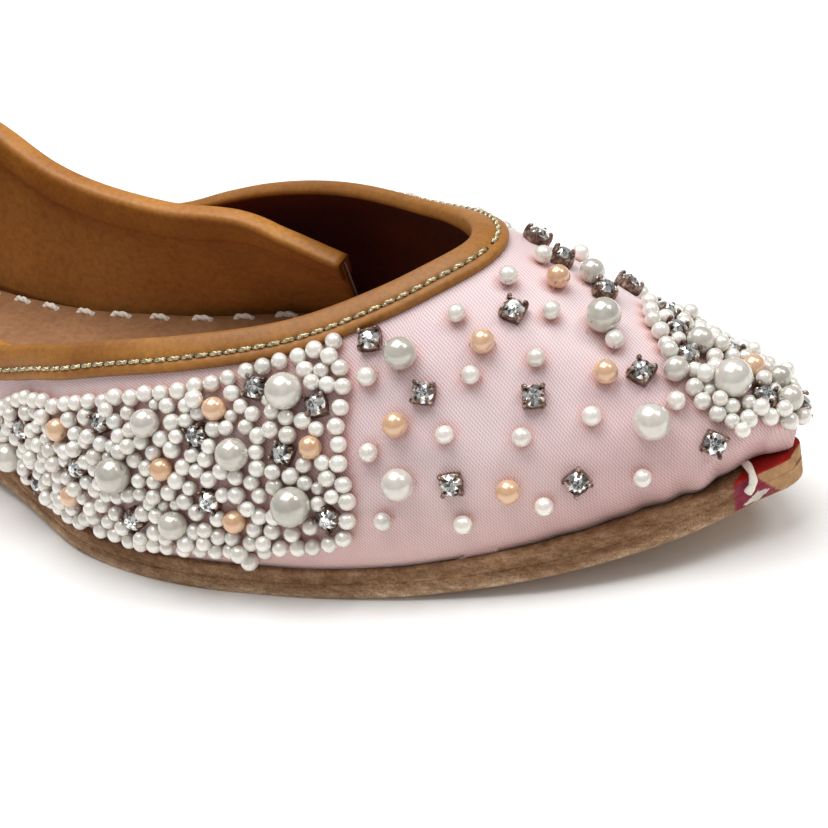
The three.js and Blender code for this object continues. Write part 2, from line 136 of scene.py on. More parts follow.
SOLE = columns("at half", [
    (0, 0), (10, 20.5), (26, 26.8), (44, 27.8), (62, 25.4), (80, 23.6), (96, 24.9), (113, 31.0),
    (132, 39.3), (152, 42.0), (171, 40.2), (191, 35.9), (211, 28.6), (228, 18.9), (239, 8.3),
    (LENGTH, 0),
])
LAST = columns("at half swell crown ridge lean", [
    (76, 22.8, 9.6, 49.0, 0.0, 0.0),
    (92, 23.6, 7.8, 49.5, 0.0, 0.0),
    (104, 26.8, 4.0, 49.5, 0.0, 0.0),
    (117, 31.4, 0.6, 48.5, 0.0, 0.0),
    (134, 38.8, 0.4, 46.2, 0.0, 0.0),
    (152, 41.4, 1.2, 43.7, 0.05, 0.0),
    (171, 39.6, 1.3, 40.6, 0.1, 0.0),
    (191, 35.2, 1.0, 38.8, 0.25, 0.03),
    (205, 29.6, 1.0, 31.7, 0.25, 0.06),
    (217, 22.8, 1.0, 23.3, 0.2, 0.14),
    (227, 15.4, 1.2, 16.8, 0.1, 0.26),
    (233, 11.4, 1.6, 13.2, 0.0, 0.34),
    (236, 7.4, 3.0, 11.4, 0.0, 0.36),
    (238, 3.4, 5.2, 10.1, 0.0, 0.36),
    (241, 1.9, 4.4, 7.9, 0.0, 0.34),
    (244, 0.0, 0.0, 4.4, 0.0, 0.28),
])
TOPLINE = columns("at below", [
    (76, 56), (88, 59.6), (101, 62.6), (110, 62.4), (117, 59.7), (126, 54.4), (139, 47.6),
    (155, 41.4), (171, 34.0), (184, 24.0), (192.6, 0),
])
QUARTER = columns("at top seat belly lean", [
    (0, 62, 0, 2.6, -3.5),
    (20, 61.4, 0, 2.4, -1.5),
    (45, 58, 0, 1.6, -0.8),
    (62, 54, 0, 1.0, 0.4),
    (78, 47.4, -0.9, 0.6, 0.7),
    (90, 40.8, -1.4, 0.4, -1.0),
    (101, 36.2, -1.4, 0.2, -3.5),
    (113, 33.3, -1.4, 0, -7.8),
    (126, 31.8, -1.4, 0, -13.0),
    (143, 23.9, -1.4, 0, -14.4),
])
for shape, column in ((SOLE, "half"), (LAST, "half"), (TOPLINE, "below")):
    shape["squared"] = shape[column] ** 2

OUTSOLE_THICKNESS = 2.7
SOLE_TOP = 5.0
GAP = 0.3
UPPER_WALL = 2.2
QUARTER_WALL = 2.0
SATIN_THICKNESS = 0.6
HEEL_RISE, ARCH_FRONT_AT, ARCH_BACK_AT = 7.0, 142.0, 62.0
TOE_SPRING, SPRING_AT = 9.0, 171.0
THROAT_AT, UPPER_TOE_AT = 192.6, 244.0
WING_END_AT, QUARTER_FRONT_AT = 84.0, 143.0
TOE_STIFFENER, STIFFENER_START_AT = 11.0, 200.0
QUARTER_REACH, REACH_RUN = 5.5, 26.0
NEAR_FLAP_DROP, FLAP_START_AT, FLAP_RUN = 6.5, 78.0, 22.0
SEAM_INSET = 0.6
BINDING_THICKNESS = 1.0


def along(table, column, at):
    """A column's value at a place, on a smooth curve through the table's rows."""
    places, values = table["at"], table[column]
    last = len(places) - 1
    place = np.clip(np.asarray(at, float), places[0], places[-1])
    before = np.maximum(np.arange(last + 1) - 1, 0)
    after = np.minimum(np.arange(last + 1) + 1, last)
    slopes = (values[after] - values[before]) / (places[after] - places[before])
    row = np.clip(np.searchsorted(places, place, side="left") - 1, 0, last - 1)
    span = places[row + 1] - places[row]
    t = (place - places[row]) / span
    t2, t3 = t * t, t * t * t
    return (
        values[row] * (2 * t3 - 3 * t2 + 1)
        + values[row + 1] * (3 * t2 - 2 * t3)
        + slopes[row] * span * (t3 - 2 * t2 + t)
        + slopes[row + 1] * span * (t3 - t2)
    )


def root(value):
    return np.sqrt(np.maximum(value, 0.0))


def smooth_step(value):
    t = np.clip(value, 0.0, 1.0)
    return t * t * (3 - 2 * t)


def unit(vectors):
    return vectors / np.maximum(np.linalg.norm(vectors, axis=-1, keepdims=True), 1e-9)


def run_of(points):
    """Distance along a line of points."""
    steps = np.linalg.norm(np.diff(points, axis=0), axis=-1)
    return np.concatenate([[0.0], np.cumsum(steps)])


def on_line(distance, run, line):
    """The points at distances along a line."""
    return np.stack([np.interp(distance, run, line[:, k]) for k in range(3)], -1)


def sole_half_width(at):
    return root(along(SOLE, "squared", at))


def underside(at):
    """Height of the outsole's underside above the floor."""
    back = (ARCH_FRONT_AT - at) / (ARCH_FRONT_AT - ARCH_BACK_AT)
    front = np.maximum((at - SPRING_AT) / (LENGTH - SPRING_AT), 0.0)
    return HEEL_RISE * smooth_step(back) + TOE_SPRING * front**2


def seat_height(at):
    """Height at which the upper stands on the sole."""
    return underside(at) + SOLE_TOP + GAP


def stiffener(at):
    """How far the stiffener in the toe sets back the upper's inside."""
    share = (at - STIFFENER_START_AT) / (UPPER_TOE_AT - STIFFENER_START_AT)
    return TOE_STIFFENER * np.maximum(share, 0) ** 2


def vamp_point(at, angle, inset=0.0):
    """A point on the vamp's outside, or inside it by the inset."""
    at = np.asarray(at, float)
    half = root(along(LAST, "squared", at))
    half = np.where(half > 0, half * half / np.maximum(half + inset, 1e-6), 0.0)
    crown = along(LAST, "crown", at) - inset
    flank = 1 - along(LAST, "ridge", at) * np.sin(angle) ** 2
    rise = crown * np.sin(angle)
    swell = along(LAST, "swell", at) * (half / (half + inset + 1)) * np.sin(2 * angle)
    return np.stack([
        at + along(LAST, "lean", at) * rise - inset / UPPER_WALL * stiffener(at),
        -(half * flank * np.cos(angle) + swell),
        seat_height(at) + rise,
    ], -1)


def vamp_normal(at, angle):
    """The direction out of the vamp, taken just short of its tip for places beyond that."""
    step = 0.05
    at = np.minimum(at, UPPER_TOE_AT - 0.2)
    forward = vamp_point(at + step, angle) - vamp_point(at - step, angle)
    around = vamp_point(at, angle + step / 20) - vamp_point(at, angle - step / 20)
    return unit(np.cross(forward, around))


def topline_angle(at):
    """The angle on the last of the foot opening's edge."""
    return np.radians(90 - root(along(TOPLINE, "squared", at)))


# Meshes ----------------------------------------------------------------------


def in_metres(points):
    """Points in the shoe's millimetres, as Blender's metres."""
    return (np.asarray(points, float) - (LENGTH / 2, 0.0, 0.0)) * MM


def new_piece(name, points, faces, material, slot, attributes=None, smooth=True, weld=False):
    """A mesh piece of the shoe. Attributes are numbers or vectors at its points."""
    mesh = bpy.data.meshes.new(name)
    mesh.from_pydata(in_metres(points).tolist(), [], [tuple(map(int, face)) for face in faces])
    for key, values in (attributes or {}).items():
        values = np.asarray(values, np.float32)
        kind = "FLOAT" if values.ndim == 1 else "FLOAT_VECTOR"
        layer = mesh.attributes.new(key, kind, "POINT")
        layer.data.foreach_set("value" if values.ndim == 1 else "vector", values.ravel())
    if weld:
        shape = bmesh.new()
        shape.from_mesh(mesh)
        bmesh.ops.remove_doubles(shape, verts=shape.verts, dist=2e-6)
        bmesh.ops.recalc_face_normals(shape, faces=shape.faces)
        shape.to_mesh(mesh)
        shape.free()
    mesh.polygons.foreach_set("use_smooth", [smooth] * len(mesh.polygons))
    mesh.update()
    piece = bpy.data.objects.new(name, mesh)
    bpy.context.scene.collection.objects.link(piece)
    piece.data.materials.append(material)
    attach(piece, "root")
    return piece


def grid_faces(rows, count, start=0, closed=False):
    """Faces of a grid of points, rows of count points each, closed round each row or not."""
    i, j = np.meshgrid(np.arange(rows - 1), np.arange(count if closed else count - 1), indexing="ij")
    near = i * count + j
    far = i * count + (j + 1) % count
    faces = np.stack([near, near + count, far + count, far], -1).reshape(-1, 4)
    return faces + start


class Collector:
    """Gathers the points, faces and attributes of many small shapes for one piece."""

    def __init__(self):
        self.points, self.faces, self.extras = [], [], {}
        self.count = 0

    def add(self, points, faces, **extras):
        self.points.append(np.asarray(points, float))
        self.faces.extend([tuple(int(i) + self.count for i in face) for face in faces])
        for key, value in extras.items():
            values = np.broadcast_to(np.asarray(value, float), (len(points),))
            self.extras.setdefault(key, []).append(values)
        self.count += len(points)

    def piece(self, name, material, slot, smooth=True):
        attributes = {key: np.concatenate(values) for key, values in self.extras.items()}
        return new_piece(
            name, np.concatenate(self.points), self.faces, material, slot, attributes, smooth
        )


def capped(rings, first, last):
    """Points and faces of a stack of rings, closed at each end by a point."""
    count, sides = len(rings), len(rings[0])
    points = np.concatenate([*rings, [first], [last]])
    faces = [tuple(face[::-1]) for face in grid_faces(count, sides, closed=True)]
    end = (count - 1) * sides
    for side in range(sides):
        after = (side + 1) % sides
        faces.append((count * sides, after, side))
        faces.append((count * sides + 1, end + side, end + after))
    return points, faces


def tube(path, radius, sides=8):
    """Points and faces of a round cord along a path, closed and rounded at its ends."""
    path = np.asarray(path, float)
    radii = np.broadcast_to(np.asarray(radius, float), (len(path),)).copy()
    tangents = unit(np.gradient(path, axis=0))
    aside = np.cross(tangents[0], (0.31, 0.17, 0.94))
    rings = []
    for place, tangent, size in zip(path, tangents, radii):
        aside = unit(aside - tangent * np.dot(aside, tangent))
        other = np.cross(tangent, aside)
        turn = np.linspace(0, 2 * math.pi, sides, endpoint=False)[:, None]
        rings.append(place + size * (np.cos(turn) * aside + np.sin(turn) * other))
    first, last = path[0] - tangents[0] * radii[0] * 0.6, path[-1] + tangents[-1] * radii[-1] * 0.6
    return capped(rings, first, last)


def swept(rings, name, material, slot, attributes=None):
    """A closed piece swept through rings of points, with flat ends."""
    rings = np.asarray(rings)
    count, sides = rings.shape[:2]
    faces = [tuple(face) for face in grid_faces(count, sides, closed=True)]
    faces.append(tuple(range(sides)))
    faces.append(tuple(range((count - 1) * sides, count * sides))[::-1])
    return new_piece(name, rings.reshape(-1, 3), faces, material, slot, attributes, weld=True)


# Materials --------------------------------------------------------------------


def srgb(red, green, blue):
    """A colour given as it looks on screen, 0 to 255, as the shader's linear colour."""
    parts = np.array([red, green, blue]) / 255
    linear = np.where(parts <= 0.04045, parts / 12.92, ((parts + 0.055) / 1.055) ** 2.4)
    return (*linear.tolist(), 1.0)


class Shader:
    """A material's node tree, with short ways to add the usual nodes."""

    def __init__(self, name, **settings):
        self.material = bpy.data.materials.new(name)
        self.material.use_nodes = True
        self.tree = self.material.node_tree
        self.surface = self.tree.nodes["Principled BSDF"]
        for key, value in settings.items():
            self.surface.inputs[key.replace("_", " ").title().replace("Ior", "IOR")].default_value = value

    def node(self, kind, inputs=(), **settings):
        made = self.tree.nodes.new("ShaderNode" + kind)
        for key, value in settings.items():
            setattr(made, key, value)
        for key, value in dict(inputs).items():
            if isinstance(value, bpy.types.NodeSocket):
                self.tree.links.new(value, made.inputs[key])
            else:
                made.inputs[key].default_value = value
        return made

    def place(self, stretch=(1.0, 1.0, 1.0)):
        """The point on the shoe, in metres, stretched."""
        coordinate = self.node("TexCoord").outputs["Object"]
        return self.node("Mapping", {"Vector": coordinate, "Scale": stretch}).outputs["Vector"]

    def noise(self, scale, detail=3.0, roughness=0.6, stretch=(1.0, 1.0, 1.0)):
        settings = {
            "Vector": self.place(stretch), "Scale": scale, "Detail": detail, "Roughness": roughness,
        }
        return self.node("TexNoise", settings).outputs["Fac"]

    def attribute(self, name, output="Fac"):
        return self.node("Attribute", attribute_name=name).outputs[output]

    def math(self, operation, first, second=0.0, third=0.0):
        return self.node("Math", {0: first, 1: second, 2: third}, operation=operation).outputs[0]

    def ramp(self, value, stops):
        """A colour for each value, through stops of (position, colour)."""
        made = self.node("ValToRGB", {"Fac": value})
        elements = made.color_ramp.elements
        while len(elements) < len(stops):
            elements.new(0.5)
        for element, (position, colour) in zip(elements, stops):
            element.position = position
            element.color = colour
        return made.outputs["Color"]

    def mix(self, factor, first, second, blend="MIX"):
        made = self.node("Mix", {0: factor, 6: first, 7: second}, data_type="RGBA", blend_type=blend)
        return made.outputs[2]

    def tinted(self, base, value, stops, amount=1.0):
        """The base colour multiplied by a ramp's colours, wholly or in part."""
        whole = self.mix(1.0, base, self.ramp(value, stops), "MULTIPLY")
        return whole if amount == 1.0 else self.mix(amount, base, whole)

    def colour(self, socket):
        self.tree.links.new(socket, self.surface.inputs["Base Color"])

    def rough(self, value, low, high):
        ranged = self.node("MapRange", {"Value": value, "To Min": low, "To Max": high})
        self.tree.links.new(ranged.outputs["Result"], self.surface.inputs["Roughness"])

    def bump(self, *heights):
        """Bumps from (height, depth in millimetres) pairs, one on another."""
        normal = None
        for height, depth in heights:
            inputs = {"Height": height, "Strength": 1.0, "Distance": depth * MM}
            if normal is not None:
                inputs["Normal"] = normal
            normal = self.node("Bump", inputs).outputs["Normal"]
        self.tree.links.new(normal, self.surface.inputs["Normal"])


def floor_paper():
    """Matt, nearly white paper, slightly mottled."""
    shader = Shader("floor_paper", roughness=0.9)
    mottle = shader.noise(6.0)
    shader.colour(shader.ramp(mottle, [(0.3, srgb(250, 249, 248)), (0.7, srgb(253, 253, 252))]))
    return shader.material


RIB_SLANT, RIB_PITCH, CROSS_PITCH = 0.45, 0.56, 0.42


def pink_satin():
    """Satin with a fine slanting rib and a finer cross thread, slightly uneven in colour, with painted
    shade near the seam with the sole and round the beads.
    """
    shader = Shader(
        "pink_satin", roughness=0.42, sheen_weight=0.35, sheen_roughness=0.4, specular_ior_level=0.45
    )
    split = shader.node("SeparateXYZ", {0: shader.attribute("cloth", "Vector")})
    u, v = split.outputs["X"], split.outputs["Y"]
    wander = shader.noise(60.0, 2.0)
    slant = shader.math("MULTIPLY", u, RIB_SLANT)
    rib_place = shader.math("ADD", shader.math("ADD", v, slant), shader.math("MULTIPLY", wander, 0.8))
    rib = shader.math("SINE", shader.math("MULTIPLY", rib_place, 2 * math.pi / RIB_PITCH))
    cross = shader.math("SINE", shader.math("MULTIPLY", u, 2 * math.pi / CROSS_PITCH))
    weave = shader.math("ADD", rib, shader.math("MULTIPLY", cross, 0.45))
    height = shader.math("MULTIPLY_ADD", weave, 0.34, 0.5)
    base = shader.ramp(height, [(0.1, srgb(212, 185, 186)), (0.9, srgb(241, 225, 226))])
    # Painted shade: the satin is darkened towards a pinkish brown near the seam with the sole and round
    # each bead.
    drawn = shader.mix(1.0, base, srgb(240, 204, 192), "MULTIPLY")
    base = shader.mix(shader.attribute("drawn"), base, drawn)
    blotches = [(0.35, srgb(246, 238, 240)), (0.65, srgb(255, 255, 255))]
    shader.colour(shader.tinted(base, shader.noise(38.0, 4.0), blotches))
    shader.rough(height, 0.5, 0.36)
    shader.bump((height, 0.05), (shader.noise(90.0, 3.0), 0.08))
    return shader.material


def leather(name, dark, light, grain=900.0, depth=0.05, low=0.42, high=0.6):
    """Smooth leather: mottled colour, pores and a soft unevenness."""
    shader = Shader(name, specular_ior_level=0.4)
    mottle = shader.noise(55.0, 5.0)
    pores = shader.noise(grain, 4.0, 0.7)
    base = shader.ramp(mottle, [(0.3, dark), (0.7, light)])
    shades = [(0.35, srgb(205, 200, 196)), (0.6, srgb(255, 255, 255))]
    shader.colour(shader.tinted(base, pores, shades, 0.6))
    shader.rough(mottle, low, high)
    shader.bump((pores, depth), (shader.noise(120.0, 3.0), 0.12))
    return shader.material


def sole_leather():
    """Raw cut leather: fibres along the edge, worn pale and dark, and paint at the toe's tip."""
    shader = Shader("sole_leather", specular_ior_level=0.25)
    fibres = shader.noise(900.0, 6.0, 0.8, (0.5, 0.5, 1.2))
    blotches = shader.noise(160.0, 5.0, 0.7, (0.5, 0.5, 1.4))
    flecks = shader.noise(2600.0, 3.0, 0.8)
    stops = [(0.3, srgb(152, 122, 94)), (0.48, srgb(200, 170, 140)), (0.66, srgb(236, 216, 190))]
    bare = shader.ramp(fibres, stops)
    # The edge is also paler towards its bottom and darker higher up.
    for value, dark, light, amount in (
        (blotches, (0.36, srgb(196, 180, 164)), (0.62, srgb(255, 252, 248)), 1.0),
        (flecks, (0.3, srgb(170, 150, 132)), (0.55, srgb(255, 255, 255)), 0.8),
        (shader.attribute("share"), (0.14, srgb(255, 253, 250)), (0.42, srgb(200, 182, 166)), 1.0),
    ):
        bare = shader.tinted(bare, value, [dark, light], amount)
    uneven = [(0.3, (0.7, 0.7, 0.7, 1)), (0.7, (1.15, 1.15, 1.15, 1))]
    paint = shader.tinted(shader.attribute("paint", "Vector"), shader.noise(500.0, 4.0), uneven)
    patchy = shader.ramp(shader.noise(700.0, 5.0, 0.7), [(0.3, (0.8, 0.8, 0.8, 1)), (0.5, (1, 1, 1, 1))])
    cover = shader.math("MULTIPLY", shader.attribute("painted"), patchy)
    shader.colour(shader.mix(cover, bare, paint))
    shader.rough(flecks, 0.75, 0.95)
    shader.bump((fibres, 0.2), (flecks, 0.12), (blotches, 0.25))
    return shader.material


def thread(name, dark, light, metallic=0.0, roughness=0.5, pitch=2600.0):
    """Twisted thread: fine fibres and a pale and a dark side."""
    shader = Shader(name, metallic=metallic, roughness=roughness)
    fibres = shader.noise(pitch, 3.0, 0.7)
    shader.colour(shader.ramp(fibres, [(0.35, dark), (0.65, light)]))
    shader.bump((fibres, 0.05))
    return shader.material


def nacre(name, deep, pale):
    """Pearl: smooth under a glossy coat, with a soft uneven tone from bead to bead."""
    shader = Shader(
        name, metallic=0.25, roughness=0.28, coat_weight=1.0, coat_roughness=0.07, coat_ior=1.6,
        specular_ior_level=0.7, subsurface_weight=0.4, subsurface_scale=0.0015,
    )
    cloud = shader.math("MULTIPLY", shader.noise(500.0, 3.0), 0.5)
    tone = shader.math("ADD", shader.math("MULTIPLY", shader.attribute("tone"), 0.7), cloud)
    shader.colour(shader.ramp(tone, [(0.2, deep), (0.85, pale)]))
    shader.rough(tone, 0.2, 0.3)
    shader.bump((shader.noise(900.0, 2.0), 0.012))
    return shader.material


def clear_stone():
    """Cut glass with a foiled back: each facet is painted a brightness of its own, from near black to
    white, as a painted reflection, with fine painted glints over it.
    """
    shader = Shader(
        "clear_stone", metallic=0.9, roughness=0.06, coat_weight=1.0, coat_roughness=0.03, ior=1.52
    )
    painted_glint = shader.math("MULTIPLY", shader.noise(1500.0), 0.2)
    painted_sparkle = shader.math("ADD", shader.attribute("facet"), painted_glint)
    # Painted reflections and glints on the facets.
    stops = [(0.1, srgb(38, 38, 40)), (0.5, srgb(150, 150, 148)), (0.85, srgb(252, 252, 250))]
    shader.colour(shader.ramp(painted_sparkle, stops))
    return shader.material


def claw_metal():
    """Darkened plated metal, worn bright on its high spots."""
    shader = Shader("claw_metal", metallic=0.85, roughness=0.35)
    wear = shader.noise(900.0, 4.0)
    stops = [(0.3, srgb(58, 42, 36)), (0.5, srgb(128, 102, 88)), (0.7, srgb(206, 192, 180))]
    shader.colour(shader.ramp(wear, stops))
    shader.rough(wear, 0.2, 0.4)
    shader.bump((wear, 0.05))
    return shader.material


# Sole -------------------------------------------------------------------------

PAINT_START_AT, LEAF_START_AT, LEAF_FULL_AT, DIAMOND_AT = 237.6, 240.6, 243.0, 240.4
BAND_SHARE, LEAF_TOP_SHARE, PAINTED_EDGE = 0.93, 0.95, 1.2
RED = np.array(srgb(178, 28, 22)[:3])
MAROON = np.array(srgb(146, 52, 72)[:3])
LEAF_TAN = np.array(srgb(196, 152, 108)[:3])
WHITE_PAINT = np.array(srgb(226, 222, 208)[:3])


def toe_paint(points):
    """Colour and cover of the paint on the sole's tip: a red top, a tan leaf, a white diamond."""
    at, side, height = points[:, 0], np.abs(points[:, 1]), points[:, 2]
    share = (height - underside(at)) / SOLE_TOP
    edge = side > sole_half_width(at) - PAINTED_EDGE
    colour = np.tile(MAROON, (len(points), 1))
    colour[(share > BAND_SHARE) | ~edge] = RED
    leaf = (at > LEAF_START_AT) & (share > 0.8 - 0.3 * (at - LEAF_START_AT))
    leaf |= (at > LEAF_FULL_AT) & (share > 0.12)
    colour[leaf & edge & (share < LEAF_TOP_SHARE)] = LEAF_TAN
    past = at - DIAMOND_AT
    diamond = np.abs(past) / 1.7 + np.abs(share - 0.2 - 0.05 * past) / 0.16
    colour[edge & (diamond < 1)] = WHITE_PAINT
    colour[at > LENGTH - 0.5] = LEAF_TAN
    cover = smooth_step((at - PAINT_START_AT) / 0.5) * (share > 0.04)
    return colour, cover


def layer_places(start, end, count):
    """Places along a layer, closer together at its round ends."""
    turn = math.pi * np.arange(count + 1) / count
    return start + (end - start) * (1 - np.cos(turn)) / 2


def sole_places(start, end):
    """Places along a layer of the sole, close together where its tip is painted."""
    tip = np.arange(233.0, 243.6, 0.22)
    return np.unique(np.round(np.concatenate([layer_places(start, end, 150), tip]), 3))


def sole_layer(name, node, places, half, bottom, top, slot, material, roughen=0.18):
    """A layer of leather with a slightly rounded, roughly cut edge."""
    width = np.maximum(half(places), 0.25)
    low, high = bottom(places), top(places)
    corner, steps = 0.3, 11
    rings = []
    turn = np.linspace(0, RIGHT_ANGLE, 4)
    for at, y, z0, z1 in zip(places, width, low, high):
        soft = min(corner, y / 2)
        side = [(y - soft + soft * math.sin(a), z0 + soft - soft * math.cos(a)) for a in turn]
        middle = [(y, z) for z in np.linspace(z0 + soft, z1 - soft, steps)[1:-1]]
        upper = [(y - soft + soft * math.cos(a), z1 - soft + soft * math.sin(a)) for a in turn]
        near = side + middle + upper
        inner = [(y * share, z1) for share in (0.93, 0.8, 0.4, 0.0)]
        lower = [(y * share, z0) for share in (0.0, 0.4, 0.8, 0.93)]
        ring = [(at, -a, b) for a, b in near + inner[:3]]
        ring += [(at, a, b) for a, b in inner[::-1] + near[::-1] + lower[::-1]]
        ring += [(at, -a, b) for a, b in lower[1:]]
        rings.append(ring)
    rings = np.array(rings)
    edge = np.abs(rings[..., 1]) > (width - 0.2)[:, None]
    wave = cut_noise(rings[..., 0], rings[..., 2], rings[..., 1] > 0)
    rings[..., 1] *= 1 - np.where(edge, roughen * wave / width[:, None], 0.0)
    colour, cover = toe_paint(rings.reshape(-1, 3))
    share = (rings[..., 2].ravel() - underside(rings[..., 0].ravel())) / SOLE_TOP
    attributes = {"paint": colour, "painted": cover, "share": share}
    piece = swept(rings, name, material, slot, attributes)
    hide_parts(node)
    return piece


def cut_noise(at, height, far):
    """An uneven knife cut along an edge, 0 to 1: long waves, short nicks and layers."""
    phase = np.where(far, 1.7, 0.0)
    long_wave = np.sin(at * 0.31 + phase) * np.sin(at * 0.117 + 2.1 * phase)
    short_wave = np.sin(at * 1.9 + height * 2.3 + phase) * np.sin(at * 0.83 - height * 3.1)
    strata = np.sin(height * 5.3 + 0.8 * np.sin(at * 0.21 + phase))
    return 0.5 + 0.2 * long_wave + 0.16 * short_wave + 0.14 * strata


MIDSOLE_INSET, LIFT_INSET = 0.15, 0.8


def inside_sole(inset):
    """A half width smaller than the sole's by an inset."""
    return lambda at: np.maximum(sole_half_width(at) - inset, 0)


def above_underside(height):
    """A surface at a height above the outsole's underside."""
    return lambda at: underside(at) + height


def make_sole():
    """The two layers of the sole, the upper one sunk a little into the lower, and the heel's lift."""
    leather_edge = sole_leather()
    sole_layer(
        "sole_outer", "outsole", sole_places(0.0, LENGTH), sole_half_width, underside,
        above_underside(OUTSOLE_THICKNESS), "sole_leather", leather_edge,
    )
    sole_layer(
        "sole_middle", "midsole", sole_places(MIDSOLE_INSET, LENGTH - 2 * MIDSOLE_INSET),
        inside_sole(MIDSOLE_INSET), above_underside(OUTSOLE_THICKNESS - 0.12),
        above_underside(SOLE_TOP + 0.1), "sole_leather", leather_edge,
    )
    sole_layer(
        "sole_heel_lift", "heel_lift", layer_places(LIFT_INSET, ARCH_BACK_AT, 90)[:-1],
        inside_sole(LIFT_INSET), np.zeros_like, above_underside(-0.05), "sole_leather",
        leather_edge, 0.4,
    )


# Insole -----------------------------------------------------------------------

INSOLE_THICKNESS = 1.8
INSOLE_START_AT, INSOLE_END_AT = 4.9, 228.6
INSOLE_CLEARANCE = 4.6


def insole_half(at):
    """The insole's half width: clear of the upper, and of the stiffener in its toe."""
    vamp = root(along(LAST, "squared", at + 2 * stiffener(at)))
    base = np.where(at < LAST["at"][0], sole_half_width(at) - SEAM_INSET, vamp)
    return np.maximum(base - INSOLE_CLEARANCE, 0)


def make_insole():
    """The insole, and the running stitches near its edge."""
    places = layer_places(INSOLE_START_AT, INSOLE_END_AT, 120)
    material = leather("insole_leather", srgb(150, 106, 72), srgb(168, 124, 88), 700.0, 0.04, 0.36, 0.5)
    sole_layer(
        "insole_sheet", "insole", places, insole_half, lambda at: seat_height(at) - 0.2,
        lambda at: seat_height(at) + INSOLE_THICKNESS, "insole_leather", material, 0.0,
    )
    cotton = thread("cotton_thread", srgb(234, 225, 208), srgb(252, 247, 236))
    stitches = Collector()
    start_at, end_at, pitch, length, from_edge = 18.0, 222.0, 7.5, 3.7, 1.5
    for side in (-1, 1):
        for at in np.arange(start_at, end_at, pitch):
            place = at + rng.uniform(-0.4, 0.4)
            reach = length * rng.uniform(0.9, 1.1)
            t = np.linspace(-0.5, 0.5, 9)
            run = place + reach * t
            inward = from_edge + 0.5 * t + rng.uniform(-0.15, 0.15)
            lift = 0.62 * root(1 - (2 * t) ** 2) - 0.25
            path = np.stack([
                run, side * (insole_half(run) - inward), seat_height(run) + INSOLE_THICKNESS + lift,
            ], -1)
            for points, faces in twisted(path, 0.46, 0.42, 1.1):
                stitches.add(points, faces)
    stitches.piece("insole_stitches", cotton, "cotton_thread")
    return cotton


def twisted(path, radius, spread, turns, sides=7):
    """Two strands twisted round a path."""
    path = np.asarray(path, float)
    count = 4 * len(path)
    t = np.linspace(0, len(path) - 1, count)
    fine = on_line(t, np.arange(len(path)), path)
    tangents = unit(np.gradient(fine, axis=0))
    aside = unit(np.cross(tangents, (0.12, 0.2, 0.97)))
    other = np.cross(tangents, aside)
    for start in (0, 0.5):
        phase = 2 * math.pi * (turns * np.linspace(0, 1, count) + start)[:, None]
        offset = spread * 0.5 * (np.cos(phase) * aside + np.sin(phase) * other)
        yield tube(fine + offset, radius, sides)


# Upper ------------------------------------------------------------------------

# Soft creases of the satin where it is drawn in round the toe, each a line on the last from
# one place and angle in degrees to another, with a width and a height across it: above
# nought for a ridge, below for a trough.
CREASES = (
    (226.5, -2, 224.0, 17, 1.1, -0.42),
    (229.0, -2, 227.5, 20, 1.0, 0.34),
    (231.2, -2, 230.0, 24, 1.0, -0.5),
    (233.2, -2, 232.6, 27, 0.9, 0.42),
    (235.4, -2, 235.0, 30, 0.8, -0.6),
    (222.5, -2, 219.0, 14, 1.4, -0.25),
    (216.0, -2, 213.0, 10, 1.5, -0.2),
    (205.0, 6, 190.0, 16, 3.2, -0.3),
    (176.0, 3, 196.0, 9, 3.5, 0.25),
    (208.0, 52, 224.0, 44, 3.4, -0.28),
    (206.0, 66, 221.0, 60, 3.0, 0.2),
    (240.4, 4, 239.6, 40, 0.8, -0.4),
)


def crease_height(at, angle):
    """How far the satin's creases lift it, in millimetres."""
    at, angle = np.broadcast_arrays(np.asarray(at, float), np.asarray(angle, float))
    girth = along(LAST, "crown", at) / 60.0
    turn = np.degrees(np.minimum(angle, math.pi - angle))
    total = np.zeros(at.shape)
    for from_at, from_turn, to_at, to_turn, width, height in CREASES:
        x, y = at - from_at, (turn - from_turn) * girth
        run_x, run_y = to_at - from_at, (to_turn - from_turn) * girth
        t = np.clip((x * run_x + y * run_y) / (run_x * run_x + run_y * run_y), 0, 1)
        off = np.hypot(x - t * run_x, y - t * run_y)
        fade = np.sin(math.pi * np.clip(0.12 + 0.88 * t, 0, 1)) ** 0.7
        total += height * np.exp(-((off / width) ** 2)) * fade
    return total


SEAM_TUCK, SEAM_TUCK_ANGLE = 0.55, 2.4


def satin_point(at, angle, inset=0.0):
    """A point of the vamp's satin, creased and tucked in along its seam with the sole."""
    point = vamp_point(at, angle, inset)
    if inset > 0:
        return point
    tuck = SEAM_TUCK * np.exp(-((np.degrees(angle) / SEAM_TUCK_ANGLE) ** 2))
    lift = crease_height(at, angle) - tuck
    return point + vamp_normal(at, angle) * lift[..., None]


WING_STATIONS, TOE_STATIONS, VAMP_STEPS = 120, 110, 56
SEAM_BEHIND_WING, SEAM_BEHIND_THROAT = 4.0, 6.0
SKIVE, SKIVE_RUN = 0.9, 14.0
# Painted shade on the satin: its strength at the seam with the sole, the height over the seam by which it
# fades, and how far it reaches round each bead.
SEAM_SHADE, SEAM_SHADE_HEIGHT, BEAD_SHADE_REACH = 0.6, 12.0, 0.9


